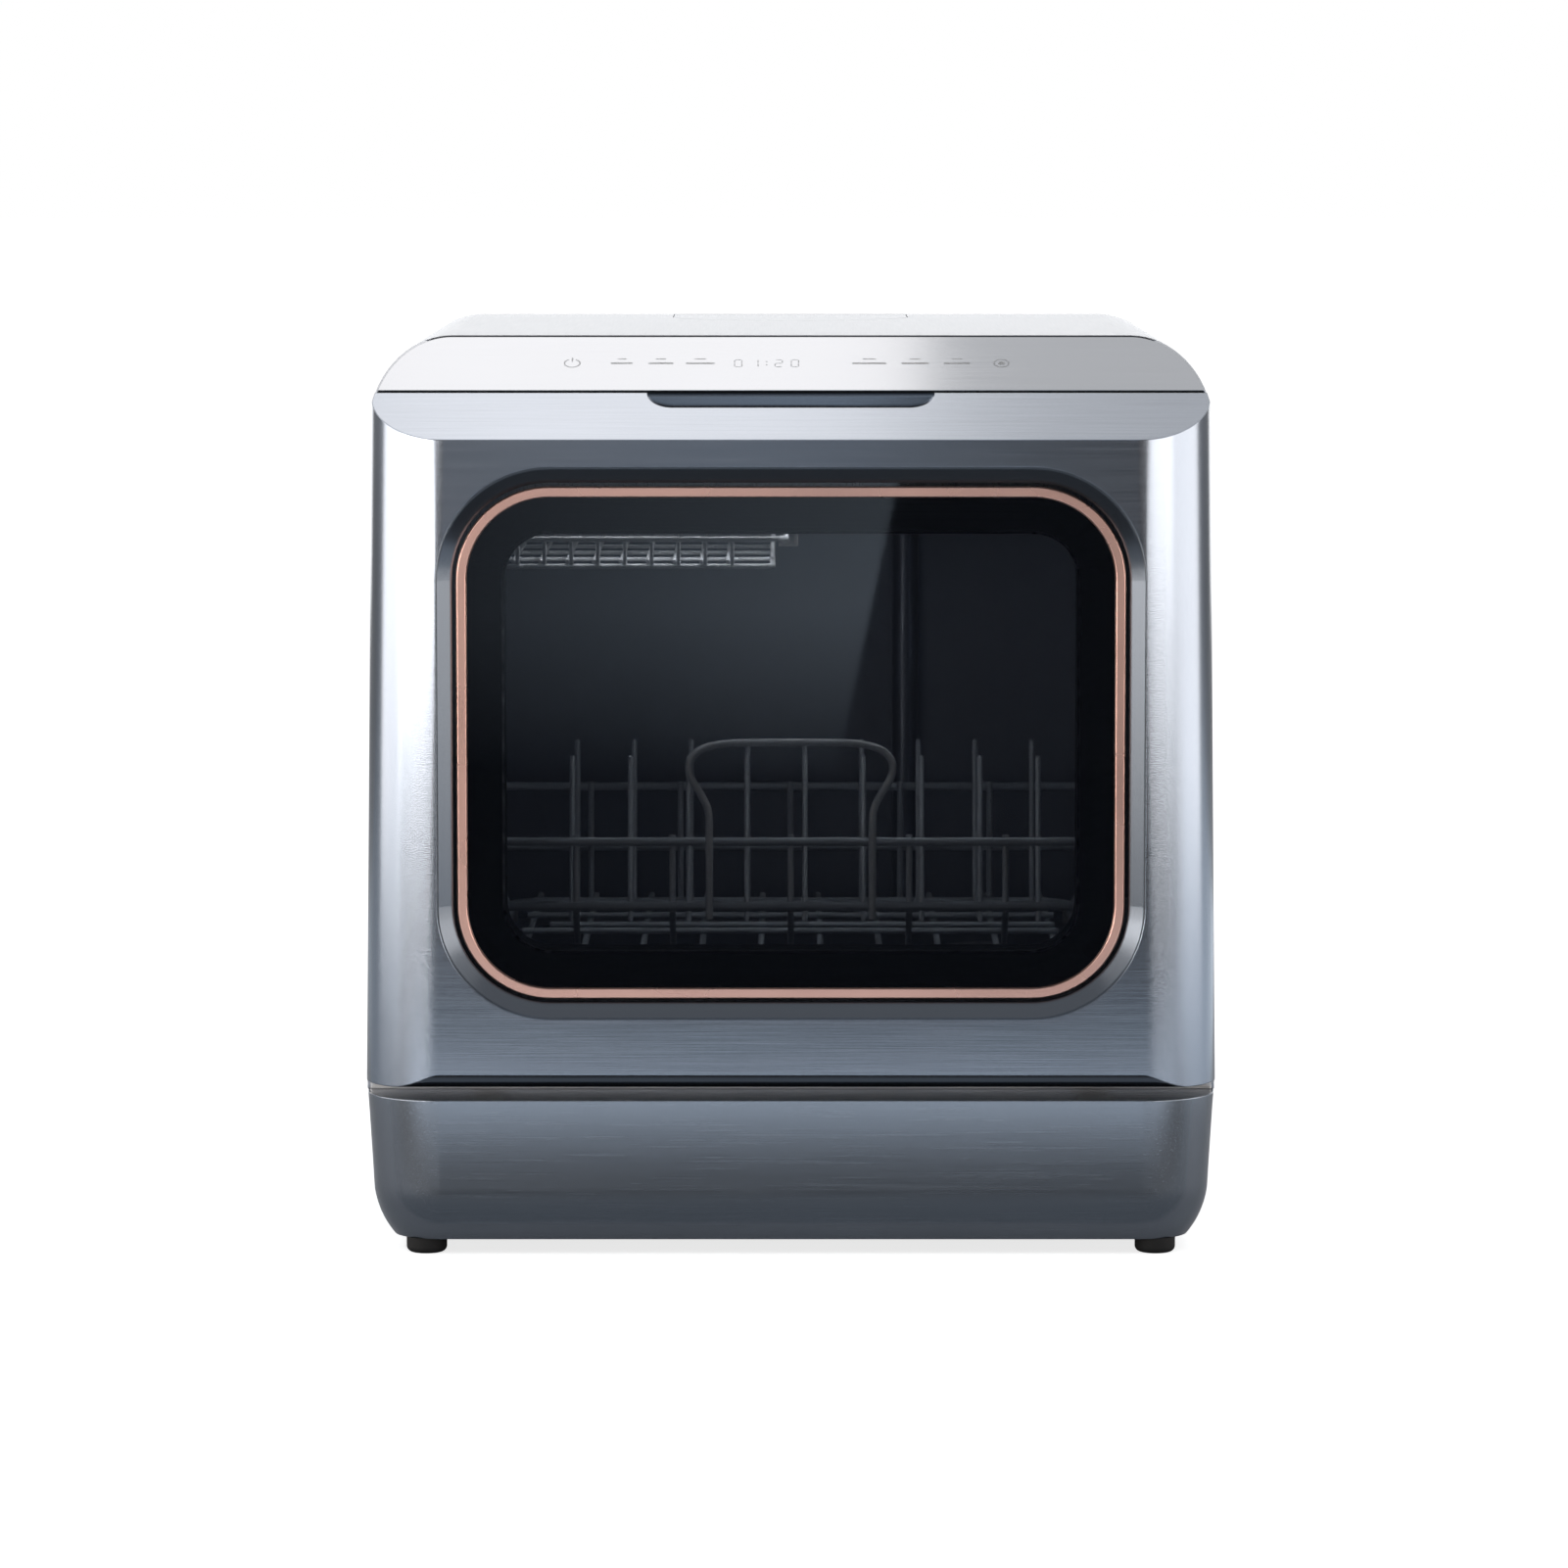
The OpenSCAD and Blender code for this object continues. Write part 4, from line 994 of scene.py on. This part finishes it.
@dataclass
class Studio:
    """A pale floor, soft lamps and the camera of the photograph."""

    eye: Point3 = (-0.0034, -3.453, 0.5636)
    tilt_deg: float = 84.2
    lens: float = 153.3
    sensor: float = 36.0
    far_clip: float = 100.0
    floor_half: float = 30.0
    floor_colour: Rgb = (0.93, 0.93, 0.93)
    floor_glow: float = 0.78
    fill_colour: Rgb = (0.97, 0.98, 1.0)
    fill_level: float = 0.3
    card_y: float = -2.6
    card_reach: float = 2.6
    card_top: float = 3.2
    card_edge: Point2 = (0.0405, 0.719)
    card_lift: float = 0.002
    card_half: float = 0.6
    lamps: tuple[Lamp, ...] = (
        Lamp("panel_left", (-2.0, -0.25, 0.35), (0.0, -0.25, 0.35), (1.4, 1.1), 6.5),
        Lamp("panel_left_high", (-2.0, 0.2, 1.4), (0.0, 0.2, 0.5), (2.4, 1.0), 2.2),
        Lamp("panel_right", (2.0, -0.43, 0.35), (0.0, -0.43, 0.35), (1.74, 1.1), 5.4),
        Lamp("panel_right_high", (2.0, 0.2, 1.4), (0.0, 0.2, 0.5), (2.4, 1.0), 1.4),
        Lamp("side_left", (-1.74, -2.02, 0.41), (-0.27, 0.0, 0.41), (2.9, 0.66), 16.0),
        Lamp("side_right", (1.52, -2.18, 0.41), (0.0, -0.2, 0.41), (2.07, 0.66), 9.0),
        Lamp("panel_top_left", (-0.137, 1.0, 2.3), (-0.137, 0.0, 0.4), (0.5, 1.6), 3.7),
        Lamp("panel_top_far", (-0.887, 1.0, 2.3), (-0.887, 0.0, 0.4), (1.0, 1.6), 1.9),
        Lamp("panel_top_right", (0.913, 1.0, 2.3), (0.913, 0.0, 0.4), (1.6, 1.6), 1.05),
        Lamp("panel_back", (0.0, 3.4, 0.55), (0.0, 0.0, 0.45), (4.0, 1.0), 1.8, WHITE),
        Lamp("key_left", (-1.6, -1.6, 1.9), (0.0, -0.1, 0.3), (1.2, 1.2), 2.2, WHITE, LampRole.FILL),
        Lamp("key_right", (1.7, -1.2, 1.6), (0.0, -0.1, 0.3), (1.0, 1.0), 1.4, WHITE, LampRole.FILL),
        Lamp("key_back", (0.3, 1.9, 1.9), (0.0, -0.1, 0.3), (1.4, 1.0), 1.6, WHITE, LampRole.FILL),
        Lamp("tub_light", (0.0, -0.135, 0.372), (0.0, -0.1, 0.2), (0.26, 0.03), 8.0, WHITE, LampRole.FILL),
    )

    def camera(self) -> None:
        """Makes the camera with a level horizon, tilted slightly down."""
        data = bpy.data.cameras.new("camera")
        data.lens = self.lens
        data.sensor_width = self.sensor
        data.sensor_fit = "HORIZONTAL"
        data.clip_end = self.far_clip
        camera = bpy.data.objects.new("camera", data)
        camera.location = self.eye
        camera.rotation_euler = (math.radians(self.tilt_deg), 0.0, 0.0)
        bpy.context.scene.collection.objects.link(camera)
        bpy.context.scene.camera = camera

    def upright(self, low: Point2, high: Point2) -> tuple[Point3, ...]:
        """Corners of a standing card.

        Args:
            low: where its lower edge starts and ends across.
            high: where its upper edge starts and ends across.

        Returns:
            The corners in order.
        """
        y, top = self.card_y, self.card_top
        return ((low[0], y, 0.0), (low[1], y, 0.0), (high[1], y, top), (high[0], y, top))

    def lying(self, across: Point2, along: Point2) -> tuple[Point3, ...]:
        """Corners of a card that lies just over the floor.

        Args:
            across: where it starts and ends along X.
            along: where it starts and ends along Y.

        Returns:
            The corners in order.
        """
        (x0, x1), (y0, y1), z = across, along, self.card_lift
        return ((x0, y0, z), (x1, y0, z), (x1, y1, z), (x0, y1, z))

    def cards(self) -> list[Card]:
        """The cards that the door, the base and the window mirror.

        Returns:
            The cards in the order that they are built.
        """
        reach, half, y = self.card_reach, self.card_half, self.card_y
        low, high = self.card_edge
        return [
            FadedCard("card_dim", self.upright((-reach, low), (-reach, high)), 1.25),
            Card("card_dark", self.upright((low, reach), (high, reach)), 0.04),
            Card("card_floor", self.lying((-reach, reach), (y, -0.80)), 0.03),
            Card("card_low", self.lying((-half, half), (-0.80, -0.45)), 2.5),
            Card("card_near", self.lying((-half, half), (-0.45, -0.29)), 0.04),
            Card("card_close", self.lying((-half, half), (-0.29, -0.216)), 0.3),
            Card("card_side_left", self.lying((-reach, -half), (-0.80, 1.2)), 0.8),
            Card("card_side_right", self.lying((half, reach), (-0.80, 1.2)), 1.7),
        ]

    def floor(self) -> None:
        """Makes the pale floor, which is white to the camera and keeps a soft shadow."""
        mesh = bpy.data.meshes.new("floor")
        s = self.floor_half
        mesh.from_pydata([(-s, -s, 0), (s, -s, 0), (s, s, 0), (-s, s, 0)], [], [(0, 1, 2, 3)])
        floor = bpy.data.objects.new("floor", mesh)
        bpy.context.scene.collection.objects.link(floor)
        bench = NodeBench("floor_white")
        matt = bench.node("ShaderNodeBsdfDiffuse", Color=self.floor_colour)
        glow = bench.node("ShaderNodeEmission", Color=WHITE, Strength=self.floor_glow)
        both = bench.tree.nodes.new("ShaderNodeAddShader")
        bench.feed(both.inputs[0], matt.outputs[0])
        bench.feed(both.inputs[1], glow.outputs[0])
        path = bench.node("ShaderNodeLightPath")
        mix = bench.node("ShaderNodeMixShader", Fac=path.outputs["Is Camera Ray"])
        bench.feed(mix.inputs[1], matt.outputs[0])
        bench.feed(mix.inputs[2], both.outputs[0])
        mesh.materials.append(bench.close(mix.outputs[0]))

    def world(self) -> None:
        """Makes the world white to the camera, glossy and transmitted rays, and even fill otherwise."""
        world = bpy.data.worlds.new("studio_world")
        world.use_nodes = True
        bpy.context.scene.world = world
        tree = world.node_tree
        tree.nodes.clear()
        path = tree.nodes.new("ShaderNodeLightPath")
        most = path.outputs["Is Camera Ray"]
        for ray in ("Is Glossy Ray", "Is Transmission Ray"):
            pick = tree.nodes.new("ShaderNodeMath")
            pick.operation = "MAXIMUM"
            tree.links.new(most, pick.inputs[0])
            tree.links.new(path.outputs[ray], pick.inputs[1])
            most = pick.outputs[0]
        mix = tree.nodes.new("ShaderNodeMixShader")
        tree.links.new(most, mix.inputs[0])
        for slot, (colour, level) in enumerate(((self.fill_colour, self.fill_level), (WHITE, 1.0)), 1):
            sky = tree.nodes.new("ShaderNodeBackground")
            sky.inputs["Color"].default_value = (*colour, 1.0)
            sky.inputs["Strength"].default_value = level
            tree.links.new(sky.outputs[0], mix.inputs[slot])
        out = tree.nodes.new("ShaderNodeOutputWorld")
        tree.links.new(mix.outputs[0], out.inputs["Surface"])

    def build(self) -> None:
        """Builds the camera, the floor, the world, the lamps and the cards."""
        self.camera()
        self.floor()
        self.world()
        for light in (*self.lamps, *self.cards()):
            light.build()
        bpy.context.scene.view_settings.view_transform = "Standard"
        LOG.info("studio ready")


def main() -> None:
    """Loads the frame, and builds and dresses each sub-assembly in order."""
    logging.basicConfig(level=logging.INFO, format="%(name)s: %(message)s")
    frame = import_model()
    Studio().build()
    CarriedNodes(frame["nodes"]).dress()
    ControlFace().build()
    WindowLines().build()
    RackGrip().build()


if __name__ == "__main__":
    main()
